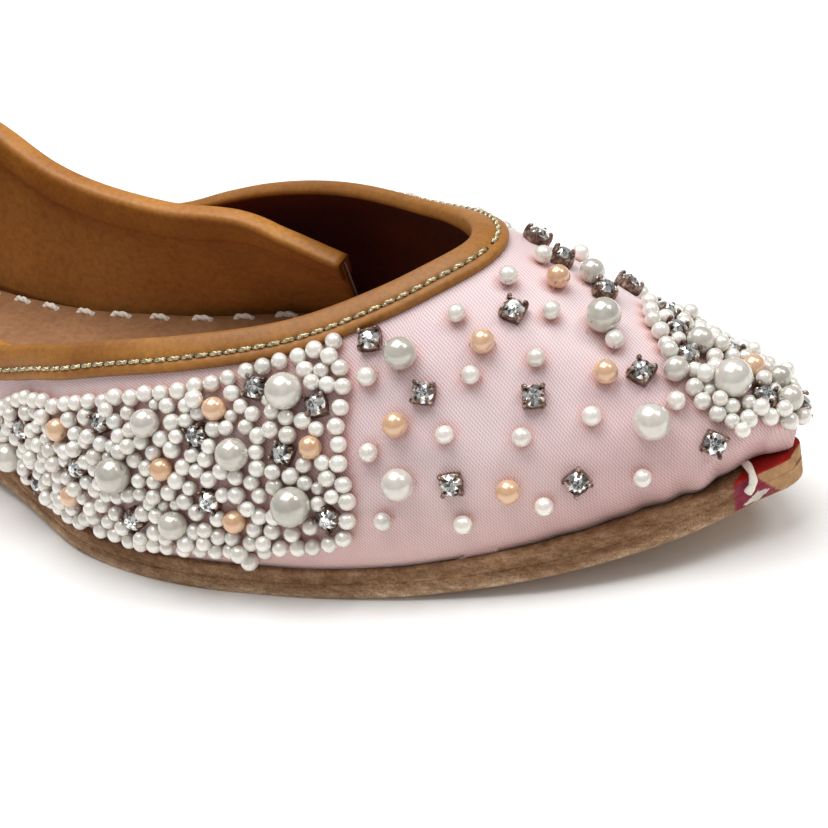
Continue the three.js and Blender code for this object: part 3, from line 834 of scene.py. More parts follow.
def vamp_stations():
    """Places of the vamp's stations at the top and at the sole, and their top angles."""
    wings, toes = WING_STATIONS, TOE_STATIONS
    t = np.arange(wings + 1) / wings
    top = THROAT_AT - (THROAT_AT - WING_END_AT) * (1 - t) ** 1.5
    seam_start, seam_end = WING_END_AT - SEAM_BEHIND_WING, THROAT_AT - SEAM_BEHIND_THROAT
    seam = seam_start + (seam_end - seam_start) * t
    ahead = np.sin(RIGHT_ANGLE * np.arange(1, toes + 1) / toes)
    toe_top = THROAT_AT + (UPPER_TOE_AT - THROAT_AT) * ahead
    toe_seam = seam_end + (UPPER_TOE_AT - seam_end) * ahead
    angle = np.concatenate([topline_angle(top), np.full(toes, RIGHT_ANGLE)])
    return np.concatenate([top, toe_top]), np.concatenate([seam, toe_seam]), angle


def skived_wall(top):
    """The vamp's thickness at its top edge, pared thinner along the wings."""
    return UPPER_WALL - SKIVE * smooth_step((THROAT_AT - 2 - top) / SKIVE_RUN)


def vamp_sheet(inset, point):
    """A grid of points on the near side of the vamp, which reaches the crown ahead of the throat."""
    top, seam, angle = vamp_stations()
    t = np.linspace(0, 1, VAMP_STEPS + 1)
    at = seam[:, None] + (top - seam)[:, None] * t
    sheet = point(at, angle[:, None] * t, inset)
    sheet[WING_STATIONS:, -1, 1] = 0.0
    return sheet


def sheet_solid(name, outside, inside, open_top, material, slot, cloth, far=None, board=None):
    """A closed sheet between two grids of points on the near side, and its far side.
    The far side is their mirror image, unless it has grids of its own. open_top is how
    many stations have a free top edge."""
    rows, count = outside.shape[:2]
    back = rows * count
    seam = np.arange(rows - 1) * count
    top = np.arange(open_top) * count + count - 1
    quads = [
        grid_faces(rows, count), grid_faces(rows, count, back)[:, ::-1],
        np.stack([seam, seam + back, seam + count + back, seam + count], -1),
        np.stack([top, top + count, top + count + back, top + back], -1),
    ]
    for end, order in ((0, 1), (rows - 1, -1)):
        line = end * count + np.arange(count - 1)
        quads.append(np.stack([line, line + 1, line + 1 + back, line + back], -1)[:, ::order])
    quads = np.concatenate(quads)
    points, faces, coordinates = [], [], []
    for side, sheets in enumerate(((outside, inside), far or (outside, inside))):
        points += [sheet.reshape(-1, 3) * (1.0, -1.0 if side else 1.0, 1.0) for sheet in sheets]
        faces.append((quads[:, ::-1] if side else quads) + side * 2 * back)
        coordinates += 2 * [cloth(sheets[0], side).reshape(-1, 3)]
    points = np.concatenate(points)
    attributes = {"cloth": np.concatenate(coordinates)}
    # Satin pieces get painted shade near the seam with the sole and round the beads.
    if slot == "pink_satin":
        attributes["drawn"] = drawn_in(points, board)
    return new_piece(name, points, np.concatenate(faces), material, slot, attributes, weld=True)


def cloth_on_vamp(outer, side):
    """Distances over the cloth: along the shoe, and round it from the crown."""
    runs = np.linalg.norm(np.diff(outer, axis=1), axis=-1)
    below = np.cumsum(runs[:, ::-1], axis=1)[:, ::-1]
    below = np.concatenate([below, np.zeros((len(outer), 1))], axis=1)
    around = below + 1.15 * np.abs(outer[:, -1:, 1])
    around = around if side else -around
    return np.stack([outer[..., 0], around, np.zeros_like(around)], -1)


def drawn_in(points, board):
    """Painted shade on the satin, nought to one: darkest at the seam with the sole and fading upwards, and
    round each bead, where shade falls.
    """
    above_seam = np.maximum(points[:, 2] - seat_height(points[:, 0]), 0)
    shade = SEAM_SHADE * np.exp(-((above_seam / SEAM_SHADE_HEIGHT) ** 2))
    beads = zip(board.centres, board.radii) if board else ()
    for centre, radius in beads:
        near = np.abs(points[:, 0] - centre[0]) < radius + 5
        gap = np.maximum(np.linalg.norm(points[near] - centre, axis=1) - radius, 0)
        shade[near] = np.maximum(shade[near], np.exp(-((gap / BEAD_SHADE_REACH) ** 2)))
    return shade


def make_vamp(satin, lining, board):
    """The satin, and the leather under it."""
    outside = vamp_sheet(0.0, satin_point)
    outside[:, 0, 2] -= GAP
    back = vamp_sheet(SATIN_THICKNESS, vamp_point)
    shell = sheet_solid(
        "vamp_satin", outside, back, WING_STATIONS, satin, "pink_satin", cloth_on_vamp, board=board
    )
    front = vamp_sheet(SATIN_THICKNESS + 0.05, vamp_point)
    inside = vamp_sheet(skived_wall(vamp_stations()[0])[:, None], vamp_point)
    sheet_solid("vamp_lining", front, inside, WING_STATIONS, lining, "lining_leather", cloth_on_vamp)
    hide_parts("upper")


QUARTER_STATIONS, QUARTER_STEPS = 150, 26


def seam_place(turn):
    """The quarter's seam with the sole: 0 at its front, 1 at the middle of the heel."""
    at = QUARTER_FRONT_AT * (1 - np.sin(RIGHT_ANGLE * turn))
    half = np.maximum(sole_half_width(at) - SEAM_INSET * np.minimum(at / 2, 1), 0)
    return np.stack([at, -half], -1)


def quarter_point(turn, rise, inset, drop):
    """A point on the quarter's outside, or inside it, at a part of its height."""
    step = 1e-3
    place = seam_place(turn)
    run = seam_place(np.minimum(turn + step, 1)) - seam_place(np.maximum(turn - step, 0))
    outward = unit(np.stack([-run[..., 1], run[..., 0]], -1))
    outward = np.where((turn > 1 - step)[..., None], np.array([-1.0, 0.0]), outward)
    at = place[..., 0]
    low = seat_height(at)
    height = along(QUARTER, "top", at) - low
    share = rise * (1 - drop * smooth_step((at - FLAP_START_AT) / FLAP_RUN) / height)
    offset = along(QUARTER, "seat", at) * (1 - share) + along(QUARTER, "lean", at) * share
    offset = offset + along(QUARTER, "belly", at) * np.sin(math.pi * share) - inset
    end = np.maximum(1 - (QUARTER_FRONT_AT - at) / REACH_RUN, 0)
    return np.stack([
        at + outward[..., 0] * offset + QUARTER_REACH * end**2 * share,
        place[..., 1] + outward[..., 1] * offset,
        low + height * share,
    ], -1)


def quarter_sheet(inset, drop):
    """A grid of points on one side of the quarter."""
    turn = np.linspace(0, 1, QUARTER_STATIONS + 1)[:, None]
    rise = np.linspace(0, 1, QUARTER_STEPS + 1)[None, :]
    turn, rise = np.broadcast_arrays(turn, rise)
    sheet = quarter_point(turn, rise, inset, drop)
    sheet[-1, :, 1] = 0.0
    return sheet


def cloth_on_quarter(outer, side):
    """Distances over the cloth: along the quarter, and up it."""
    length = np.linalg.norm(np.diff(outer[:, :1], axis=0), axis=-1)
    run = np.concatenate([np.zeros((1, 1)), np.cumsum(length, axis=0)])
    run = np.broadcast_to(run, outer.shape[:2])
    return np.stack([run if side else -run, outer[..., 2], np.zeros_like(run)], -1)


def make_quarter(satin, lining):
    """The satin and the lining round the heel. The near side's front is cut lower."""
    near, far = NEAR_FLAP_DROP, 0.0
    skin = (0.0, SATIN_THICKNESS)
    wall = (SATIN_THICKNESS + 0.05, QUARTER_WALL)
    for name, (outer, inner), material, slot in (
        ("quarter_satin", skin, satin, "pink_satin"),
        ("quarter_lining", wall, lining, "lining_leather"),
    ):
        sheets = [quarter_sheet(inset, drop) for drop in (near, far) for inset in (outer, inner)]
        sheet_solid(
            name, sheets[0], sheets[1], QUARTER_STATIONS, material, slot, cloth_on_quarter,
            (sheets[2], sheets[3]),
        )


# Bindings ---------------------------------------------------------------------

VAMP_BINDING_WIDTH = 4.6
STITCH_FROM_EDGE = 2.7
STITCH_PITCH = 2.4


def edge_frame(place, forward, down):
    """Directions at an edge: out of the sheet's face, and past its edge."""
    face = unit(np.cross(down, forward))
    return place, face, unit(np.cross(face, forward))


def beside(corner, face, past, out, over):
    """A point beside an edge: out of the sheet's face, and past its edge."""
    return corner + face * out + past * over


def topline_frame(at):
    """Frames along the foot opening's edge, square to the surface and to the edge."""
    small = 0.02
    angle = topline_angle(at)
    place = vamp_point(at, angle)
    following = vamp_point(at + small, topline_angle(at + small))
    below = vamp_point(at, angle - small)
    forward, down = following - place, below - place
    centre = at > THROAT_AT - small
    place[centre, 1] = 0.0
    forward[centre] = (0.0, 1.0, 0.0)
    down[centre] = (vamp_point(at + 1, angle) - place)[centre]
    return angle, *edge_frame(place, forward, down)


def below_topline(at, angle, past, width):
    """The place on the last a short way from the opening's edge, square to it."""
    small = 1e-3
    base = vamp_point(at, angle)
    forward = (vamp_point(at + small, angle) - base) / small
    upward = (vamp_point(at, angle + small) - base) / small
    wanted = -past * width
    ff, fu, uu = (forward * forward).sum(-1), (forward * upward).sum(-1), (upward * upward).sum(-1)
    fw, uw = (forward * wanted).sum(-1), (upward * wanted).sum(-1)
    scale = ff * uu - fu * fu
    return at + (fw * uu - uw * fu) / scale, angle + (uw * ff - fw * fu) / scale


def binding_stations(count):
    """Places along the foot opening's edge, closer together at the throat."""
    t = np.linspace(0, 1, count + 1)
    return THROAT_AT - (THROAT_AT - WING_END_AT) * (1 - t) ** 1.35


def stitch_line(count=700):
    """Points, outward directions and distances along the near side's row of stitches."""
    at = binding_stations(count)
    angle, _, _, past = topline_frame(at)
    line_at, line_angle = below_topline(at, angle, past, STITCH_FROM_EDGE)
    surface = vamp_point(line_at, line_angle)
    face = vamp_normal(line_at, line_angle)
    return surface, face, run_of(surface)


def make_vamp_binding(tan):
    """The strip folded over the foot opening's edge, with a groove for its stitches."""
    at = binding_stations(330)
    angle, place, face, past = topline_frame(at)
    line_at, line_angle = below_topline(at, angle, past, STITCH_FROM_EDGE)
    run = run_of(vamp_point(line_at, line_angle))
    pit = 0.5 + 0.5 * np.cos(2 * math.pi * run / STITCH_PITCH)
    inside = vamp_point(at, angle, skived_wall(at))
    base, thick = 0.08, GAP + BINDING_THICKNESS

    def on_face(width, out):
        where = below_topline(at, angle, past, width)
        return vamp_point(*where) + vamp_normal(*where) * np.broadcast_to(out, at.shape)[:, None]

    ring = [on_face(VAMP_BINDING_WIDTH * 0.5, base), on_face(VAMP_BINDING_WIDTH, base)]
    for width, share in ((4.62, 0.35), (4.55, 0.68), (4.35, 0.9), (4.05, 1.0), (3.6, 1.03)):
        ring.append(on_face(width, thick * share))
    for width, dip in ((3.25, 0.12), (2.95, 0.55), (2.7, 0.9), (2.45, 0.55), (2.15, 0.12)):
        ring.append(on_face(width, thick - dip * (0.16 + 0.34 * pit)))
    for width, share in ((1.8, 1.03), (1.2, 1.04), (0.6, 1.02)):
        ring.append(on_face(width, thick * share))
    for turn in np.radians((12, 32, 55, 78)):
        out = 0.1 + (thick - 0.1) * math.cos(turn)
        ring.append(beside(place, face, past, out, thick * math.sin(turn)))
    rim = beside(place, face, past, 0.0, thick)
    inner_rim = beside(inside, face, past, 0.3, thick)
    ring += [rim, (rim + inner_rim) / 2 + past * 0.04, inner_rim]
    ring += [
        beside(inside, face, past, -0.12, thick * 0.8),
        beside(inside, face, past, -0.2, thick * 0.45),
        beside(inside, face, past, -0.1, 0.1),
        beside(place, face, past, 0.0, base),
    ]
    rings = np.stack(ring, axis=1)
    rings[-1, :, 1] = 0.0
    far = rings[::-1][1:] * (1.0, -1.0, 1.0)
    piece = swept(np.concatenate([rings, far]), "vamp_binding_strip", tan, "tan_binding")
    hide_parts("vamp_binding")


def on_side(side, points, faces):
    """A shape made for the near side, as it is on that side (1) or on the far side (-1)."""
    return points * (1.0, side, 1.0), [face[::-1] for face in faces] if side < 0 else faces


def make_binding_stitches(metallic, dark):
    """The row of stitches in the vamp binding's groove, with a dark lump between each two: painted shade
    for a needle hole.
    """
    surface, face, run = stitch_line()
    stitches, needle_hole_shades = Collector(), Collector()
    thick = GAP + BINDING_THICKNESS
    for side in (1.0, -1.0):
        for centre in np.arange(STITCH_PITCH, run[-1] - 0.3, STITCH_PITCH):
            t = np.linspace(-0.5, 0.5, 7)
            distance = centre - STITCH_PITCH / 2 + 0.74 * STITCH_PITCH * t
            lift = thick - 0.42 + 0.5 * root(1 - (2 * t) ** 2) ** 0.8
            line = on_line(distance, run, surface)
            out = on_line(distance, run, face)
            for points, faces in twisted(line + out * lift[:, None], 0.27, 0.26, 0.7, 8):
                stitches.add(*on_side(side, points, faces))
            # A dark lump in the groove: painted shade where a needle hole is.
            middle, normal = on_line(centre, run, surface), on_line(centre, run, face)
            points, faces = pebble(middle + normal * (thick - 0.3), normal, (0.36, 0.36, 0.24))
            needle_hole_shades.add(*on_side(side, points, faces))
    stitches.piece("binding_stitches", metallic, "metallic_thread")
    needle_hole_shades.piece("binding_needle_hole_shade", dark, "tan_binding")


# The quarter binding's profile on each face: below the edge, and out of the wall.
FOLD_OUTSIDE = (
    (3.0, 0.06), (5.5, 0.06), (5.62, 0.5), (5.5, 0.9), (5.2, 1.16), (4.7, 1.3),
    (3.4, 1.36), (2.0, 1.38), (0.8, 1.36),
)
FOLD_INSIDE = (
    (0.8, 1.36), (2.0, 1.38), (3.4, 1.36), (4.8, 1.3), (5.3, 1.16), (5.6, 0.9),
    (5.72, 0.5), (5.6, 0.06), (3.0, 0.06),
)


def make_quarter_binding(pale_tan):
    """The strip folded over the quarter's top edge."""
    thick = GAP + BINDING_THICKNESS
    turn = np.linspace(0, 1, 241)
    sides = []
    for drop in (NEAR_FLAP_DROP, 0.0):
        def point(rise, inset):
            return quarter_point(turn, np.broadcast_to(rise, turn.shape), inset, drop)

        small = 1e-3
        place, inside = point(1.0, 0.0), point(1.0, QUARTER_WALL)
        one = np.ones_like(turn)
        ahead = quarter_point(np.maximum(turn - small, 0), one, 0.0, drop)
        behind = quarter_point(np.minimum(turn + small, 1), one, 0.0, drop)
        forward = ahead - behind
        forward[-1] = (0.0, -1.0, 0.0)
        _, face, past = edge_frame(place, forward, point(0.95, 0.0) - place)
        height = np.linalg.norm(place - point(0.0, 0.0), axis=-1)
        ring = [point(1 - width / height, -out) for width, out in FOLD_OUTSIDE]
        for corner, shift, angles in (
            (place, 0.1, (10, 35, 60, 85)), (inside, -0.1, (95, 120, 145, 170)),
        ):
            for a in np.radians(angles):
                out = shift + (thick - 0.1) * math.cos(a)
                ring.append(beside(corner, face, past, out, thick * math.sin(a)))
        ring += [point(1 - width / height, QUARTER_WALL + out) for width, out in FOLD_INSIDE]
        ring.append(beside(inside, face, past, -0.05, 0.05))
        ring.append(beside(place, face, past, 0.05, 0.05))
        rings = np.stack(ring, axis=1)
        rings[-1, :, 1] = 0.0
        sides.append(rings)
    far = sides[1][::-1][1:] * (1.0, -1.0, 1.0)
    piece = swept(np.concatenate([sides[0], far]), "quarter_binding_strip", pale_tan, "tan_binding")
    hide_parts("quarter_binding")


# Beads ------------------------------------------------------------------------

# Radii, and heights over the satin: a pearl's centre as a share of its radius, the place
# where a stone needs room, and the place it then takes.
SMALL, PEACH, STONE = 1.5, 1.95, 2.0
PEARL_STANDS, STONE_NEEDS, STONE_TAKES = 0.93, 1.5, 2.0
TOE_PANEL_FROM_AT = 189.0

# Small pearls that fill a panel, layer by layer: their height over the satin, how much of a
# pearl's radius stays clear of the others, and their radii.
FILL_SIZES = (1.28, 1.38, 1.46)
FILL_LAYERS = (
    (1.32, 0.8, FILL_SIZES), (2.0, 0.76, FILL_SIZES), (2.5, 0.74, FILL_SIZES),
    (1.0, 0.78, (1.0, 1.1)),
)

# Beads scattered over the near side of the vamp, and a few over its crown.
SMALL_PEARLS = columns("at angle", [
    (199.8, 80.4), (195.6, 62.3), (200.1, 48), (207.6, 57.8), (207, 75), (215.5, 76),
    (185.8, 44.2), (198.4, 33), (188, 28), (212.8, 14.8), (202.1, 11.3), (190.7, 13),
    (208.6, 35), (216.5, 45.2), (225.9, 58.9), (224.7, 21.7), (201.4, 99), (168.3, 2.6),
])
PEACH_PEARLS = columns("at angle", [
    (200.3, 57), (205.4, 89.8), (191.4, 34), (208, 20), (216.3, 61.3),
])
LARGE_PEARLS = columns("at angle size", [
    (190, 49.3, 2.6), (192.9, 21.5, 2.5), (212.9, 81.5, 2.7), (223.9, 46.5, 3.0),
    (207.8, 104, 2.1),
])
SCATTERED_STONES = columns("at angle turn", [
    (202.5, 70, 10), (194.3, 41.6, 20), (208.8, 46.8, 35), (200.2, 21.5, 50), (216.7, 22, 5),
    (220.3, 67.7, 0), (184.6, 53, 30), (210.5, 100.6, 15), (203.0, 107, 20),
    (196.9, 115, 40), (232.9, 39.8, 20),
])

# The large beads and stones of the side panel and of the toe panel.
PANEL_PEACH = columns("at angle", [
    (132.5, 22.8), (154.7, 21.8), (133.9, 9.2), (163.2, 36), (179.3, 29.4), (167.2, 12.6),
])
PANEL_LARGE = columns("at angle size", [
    (151.7, 30.6, 2.4), (145.9, 18.6, 3.0), (156.4, 10.3, 2.4), (115, 7, 2.6),
    (174.2, 41, 3.1), (167.3, 27.3, 2.6), (177.1, 17.3, 3.2),
])
PANEL_STONES = columns("at angle turn", [
    (120, 15.5, 5), (142, 28, 15), (136, 16, 0), (122.4, 5, 30), (147.7, 8.6, 0),
    (169, 41.5, 10), (179, 38.2, 35), (160.3, 29.7, 40), (174.8, 28, 0), (182.2, 13.6, 5),
    (162.8, 16.2, 20),
])
TOE_LARGE = columns("at angle size", [
    (222.4, 109, 2.4), (224.7, 97, 2.3), (231.6, 78.5, 3.0), (240.3, 89, 2.1),
    (237, 103, 1.9), (224.1, 73.5, 2.0),
])
TOE_PEACH = columns("at angle", [(232.8, 98)])
TOE_STONES = columns("at angle turn", [
    (221.2, 100.5, 20), (224.4, 86, 10), (236.7, 81, 15), (217.8, 114, 30), (228.3, 111, 5),
    (241.6, 122, 25),
])

# Outlines of the two panels on the last, sewn as rows of small pearls.
SIDE_OUTLINE = np.array([
    (109, 9), (112, 13), (115.5, 18), (119, 21.5), (122, 23.4), (125, 24.9), (131, 27.2),
    (136, 29.8), (140, 31.8), (149, 35.3), (156, 38.4), (161, 40.8), (167.3, 45.2),
    (172.3, 47.6), (176.5, 50.6), (180.2, 52.8), (181.3, 46), (182.6, 40.8), (183, 33),
    (184, 25), (185.4, 17), (185.3, 12.5), (184.2, 8), (172, 6.0), (160, 4.6), (150, 3.4),
    (140, 3.2), (131, 3.2), (122, 3.2), (114, 4),
])
TOE_OUTLINE = np.array([
    (243.2, 96), (242.9, 82), (241.7, 69), (240.6, 65), (238.3, 64.5), (236.2, 59),
    (235.8, 49.3), (232.8, 57.2), (230, 60.5), (227.2, 68), (222.6, 78), (221.2, 86.5),
    (219.1, 94.5), (216.6, 103), (215.6, 112), (217, 121), (221, 127), (226, 129), (230, 128),
    (234, 126), (237, 122), (239.5, 117), (241.5, 111),
])
# The far side's panel is cut off at this angle, so that none of it shows over the rim.
FAR_PANEL_TOP = 43.0


class BeadBoard:
    """The beads already sewn on, so that no two take the same place."""

    def __init__(self):
        self.centres = np.zeros((0, 3))
        self.radii = np.zeros(0)

    def room_for(self, centre, radius, squeeze=0.86):
        """Whether a bead fits, when beads may be squeezed into one another a little."""
        if not len(self.radii):
            return True
        gaps = np.linalg.norm(self.centres - centre, axis=1)
        return bool(np.all(gaps > (self.radii + radius) * squeeze))

    def take(self, centre, radius):
        self.centres = np.vstack([self.centres, centre])
        self.radii = np.append(self.radii, radius)


def pebble(centre, normal, radii, sides=10, rows=6):
    """A small rounded lump: points and faces."""
    normal = unit(np.asarray(normal, float))
    aside = unit(np.cross(normal, (0.3, 0.2, 0.93)))
    other = np.cross(normal, aside)
    height = np.linspace(-RIGHT_ANGLE, RIGHT_ANGLE, rows + 1)[1:-1]
    turn = np.linspace(0, 2 * math.pi, sides, endpoint=False)
    a, b = np.meshgrid(height, turn, indexing="ij")
    rings = np.stack([np.cos(a) * np.cos(b), np.cos(a) * np.sin(b), np.sin(a)], -1)
    points, faces = capped(rings, (0, 0, -1), (0, 0, 1))
    local = points * radii
    return centre + local[:, :1] * aside + local[:, 1:2] * other + local[:, 2:] * normal, faces


def drilled_pearl(sides, rows):
    """A pearl of radius 1 with its hole along Z: points and faces."""
    profile = [(math.cos(a), math.sin(a)) for a in np.linspace(-1.35, 1.35, rows)]
    turn = np.linspace(0, 2 * math.pi, sides, endpoint=False)
    rings = [
        [(r * math.cos(b), r * math.sin(b), z) for b in turn]
        for r, z in [(0.1, -0.93), *profile, (0.1, 0.93)]
    ]
    return capped(rings, (0, 0, -0.8), (0, 0, 0.8))


def turned_to(normal, spin):
    """Axes of a small thing that stands on a surface: two across it and one out of it."""
    normal = unit(np.asarray(normal, float))
    aside = unit(np.cross((0.0, 1.0, 0.0), normal) + 1e-6)
    other = np.cross(normal, aside)
    first = math.cos(spin) * aside + math.sin(spin) * other
    return np.stack([first, np.cross(normal, first), normal])


class Embroidery:
    """Sews pearls and stones on the vamp."""

    def __init__(self):
        self.board = BeadBoard()
        self.fine_pearl, self.pearl = drilled_pearl(20, 12), drilled_pearl(16, 9)
        self.near, self.far, self.toe = Collector(), Collector(), Collector()
        self.large, self.peach = Collector(), Collector()
        self.stones, self.cups, self.threads = Collector(), Collector(), Collector()

    def seat(self, at, angle):
        """The satin's point and direction at a place on the last."""
        at, angle = float(at), float(angle)
        return satin_point(np.array(at), np.array(angle)), vamp_normal(at, angle)

    def sew_pearl(
        self, into, at, angle, radius, along_row=None, thread=False, check=True, raised=0.0
    ):
        """Sews a pearl if it has room. It goes into a collector, or with the small pearls."""
        foot, normal = self.seat(at, angle)
        size = radius * rng.uniform(0.96, 1.04)
        centre = foot + normal * (size * PEARL_STANDS + raised)
        if check and not self.board.room_for(centre, size):
            return
        self.board.take(centre, size)
        spin = rng.uniform(0, math.pi)
        axes = turned_to(normal, spin)
        hole = axes[0] if along_row is None else unit(along_row - normal * np.dot(along_row, normal))
        across = np.cross(normal, hole)
        points, faces = self.fine_pearl if into else self.pearl
        into = into or self.small_pearls_at(centre)
        shaped = points * (size, size, size * rng.uniform(0.94, 1.0))
        placed = centre + shaped[:, :1] * normal + shaped[:, 1:2] * across + shaped[:, 2:] * hole
        into.add(placed, faces, tone=rng.uniform(0.0, 0.5) + (0.5 if size < 0.9 * PEACH else 0.0))
        if thread:
            self.sew_thread(centre, normal, hole, size)

    def small_pearls_at(self, centre):
        """Small pearls are gathered in three pieces: the near panel, the far panel, the toe."""
        if centre[0] > TOE_PANEL_FROM_AT:
            return self.toe
        return self.near if centre[1] < 0 else self.far

    def sew_thread(self, centre, normal, hole, size):
        """The thread through a pearl, from each end of its hole down into the satin."""
        for way in (-1, 1):
            t = np.linspace(0, 1, 6)[:, None]
            out = hole * way * (0.8 * size + 0.45 * np.sin(t * RIGHT_ANGLE))
            down = normal * (-(size * 1.05) * t**1.6)
            points, faces = tube(centre + out + down, 0.07, 5)
            self.threads.add(points, faces)

    def sew_stone(self, at, angle, turn):
        """Sews a stone in its cup if it has room, turned and a little tilted."""
        foot, normal = self.seat(at, angle)
        if not self.board.room_for(foot + normal * STONE_NEEDS, STONE, 0.8):
            return
        self.board.take(foot + normal * STONE_TAKES, STONE)
        axes = turned_to(normal, math.radians(turn + rng.uniform(-6, 6)))
        tilt = rng.normal(0, 0.04, 2)
        axes = unit(axes + np.outer((0, 0, 1), tilt[0] * axes[0] + tilt[1] * axes[1]))
        points, faces, painted_facet_reflections = cut_stone()
        self.stones.add(foot + points @ axes, faces, facet=painted_facet_reflections)
        points, faces = claw_cup()
        self.cups.add(foot + points @ axes, faces)


def cut_stone(radius=1.74, seat=1.5):
    """A brilliant-cut stone, each facet with points of its own, and a painted reflection for each: a
    random brightness.
    """
    sides = 8
    table, star = 0.5 * radius, 0.74 * radius
    table_height, low_height = seat + 1.02, seat - 0.25
    turn = np.arange(sides) * 2 * math.pi / sides
    half = turn + math.pi / sides

    def ring(size, angles, z):
        return [np.array([size * math.cos(a), size * math.sin(a), z]) for a in angles]

    top = ring(table, turn, table_height)
    inner = ring(table * 0.52, half, table_height + 0.015)
    stars = ring(star, half, seat + 0.72)
    rim, rim_half = ring(radius, turn, seat + 0.15), ring(radius, half, seat + 0.15)
    low, low_half = ring(radius * 0.9, turn, low_height), ring(radius * 0.9, half, low_height)
    peak = np.array([0, 0, table_height + 0.02])
    base = np.array([0, 0, seat - 0.6])
    triangles = []
    for k in range(sides):
        n = (k + 1) % sides
        triangles += [
            (peak, inner[k - 1], top[k]), (peak, top[k], inner[k]), (top[k], top[n], inner[k]),
            (top[k], stars[k], top[n]), (top[k], rim[k], stars[k]), (top[n], stars[k], rim[n]),
            (stars[k], rim[k], rim_half[k]), (stars[k], rim_half[k], rim[n]),
            (rim[k], low[k], rim_half[k]), (rim_half[k], low[k], low_half[k]),
            (rim_half[k], low_half[k], rim[n]), (rim[n], low_half[k], low[n]),
            (low[k], base, low_half[k]), (low_half[k], base, low[n]),
        ]
    points = np.array([p for triangle in triangles for p in triangle])
    faces = [(3 * k, 3 * k + 1, 3 * k + 2) for k in range(len(triangles))]
    # Painted reflections: a random brightness for each facet.
    painted_reflections = np.repeat(rng.uniform(0, 1, len(triangles)) ** 0.9, 3)
    return points, faces, painted_reflections


def claw_cup(half=1.67, wall=0.26, sides=24):
    """A square cup with four claws bent over the stone: points and faces."""
    cup = Collector()
    turn = np.linspace(0, 2 * math.pi, sides, endpoint=False) + math.pi / 4
    square = np.maximum(np.abs(np.cos(turn)), np.abs(np.sin(turn)))
    rounding = half / square**0.72
    corner = np.abs(np.sin(2 * turn)) ** 1.5
    crest = 1.28 + 0.35 * corner
    rings = []
    for shrink, height in ((0.0, 0), (0.0, 1), (wall, 1), (wall, 0)):
        radius = rounding - shrink + 0.12 * (1 - height)
        rings.append(np.stack([radius * np.cos(turn), radius * np.sin(turn), crest * height], -1))
    faces = grid_faces(len(rings) + 1, sides, closed=True)[:, ::-1] % (len(rings) * sides)
    cup.add(np.concatenate(rings), np.roll(faces, 1, axis=1))
    for quarter in range(4):
        a = math.pi / 4 + quarter * RIGHT_ANGLE
        out = np.array([math.cos(a), math.sin(a), 0]) * half * 1.26
        bend = ((0.98, 0.3), (1.02, 1.2), (1.0, 1.8), (0.93, 2.2), (0.78, 2.38))
        path = [out * reach + np.array([0, 0, height]) for reach, height in bend]
        points, faces = tube(path, (0.36, 0.36, 0.36, 0.35, 0.3), 7)
        cup.add(points, faces)
    return np.concatenate(cup.points), cup.faces


def sew_row(work, outline, mirror, pitch=2.9, radius=1.42):
    """Small pearls side by side along a closed outline on the last."""
    places = np.vstack([outline, outline[:1]])
    t = np.linspace(0, len(outline), 40 * len(outline) + 1)
    at = np.interp(t, np.arange(len(places)), places[:, 0])
    angle = np.radians(np.interp(t, np.arange(len(places)), places[:, 1]))
    line = vamp_point(at, angle)
    run = run_of(line)
    for distance in np.arange(0, run[-1] - 0.6 * pitch, run[-1] / round(run[-1] / pitch)):
        where = np.interp(distance, run, at) + rng.uniform(-0.3, 0.3)
        turn = np.interp(distance, run, angle) + math.radians(rng.uniform(-0.4, 0.4))
        ahead, behind = on_line(distance + 0.5, run, line), on_line(distance - 0.5, run, line)
        direction = (ahead - behind) * (1, -1 if mirror else 1, 1)
        turn = math.pi - turn if mirror else turn
        work.sew_pearl(None, where, turn, radius, direction)


def inside(outline, at, angle):
    """Which places lie within a closed outline."""
    result = np.zeros(len(at), bool)
    for (x0, y0), (x1, y1) in zip(outline, np.roll(outline, -1, axis=0)):
        crosses = (y0 > angle) != (y1 > angle)
        level = (angle - y0) / (y1 - y0 if y1 != y0 else 1.0)
        result ^= crosses & (at < x0 + level * (x1 - x0))
    return result


def fill(work, outline, mirror, height, spare, sizes, tries=9000):
    """Small pearls packed within an outline at a height, each as close to the others as it fits."""
    low, high = outline.min(axis=0), outline.max(axis=0)
    places = rng.uniform(low, high, (tries, 2))
    places = places[inside(outline, *places.T)]
    at, angle = places[:, 0], np.radians(places[:, 1])
    angle = math.pi - angle if mirror else angle
    centres = satin_point(at, angle) + vamp_normal(at, angle) * height
    gaps = np.full(len(at), 9.0)
    for centre, radius in zip(work.board.centres, work.board.radii):
        gaps = np.minimum(gaps, np.linalg.norm(centres - centre, axis=1) - radius)
    while True:
        for radius in (rng.choice(sizes), sizes[0]):
            fits = np.where(gaps > radius * spare, gaps, np.inf)
            best = int(np.argmin(fits))
            if np.isfinite(fits[best]):
                break
        else:
            return
        raised = height - radius * PEARL_STANDS
        work.sew_pearl(None, at[best], angle[best], radius, check=False, raised=raised)
        centre, size = work.board.centres[-1], work.board.radii[-1]
        gaps = np.minimum(gaps, np.linalg.norm(centres - centre, axis=1) - size)


def on_far_side(at, angle):
    """Whether the far side repeats a bead: none on the crown, and few high at the throat."""
    clear_of_throat = at < 172 or at > 196
    low = angle < math.radians(40) and at < 184
    return angle < math.radians(57) and (clear_of_throat or low)


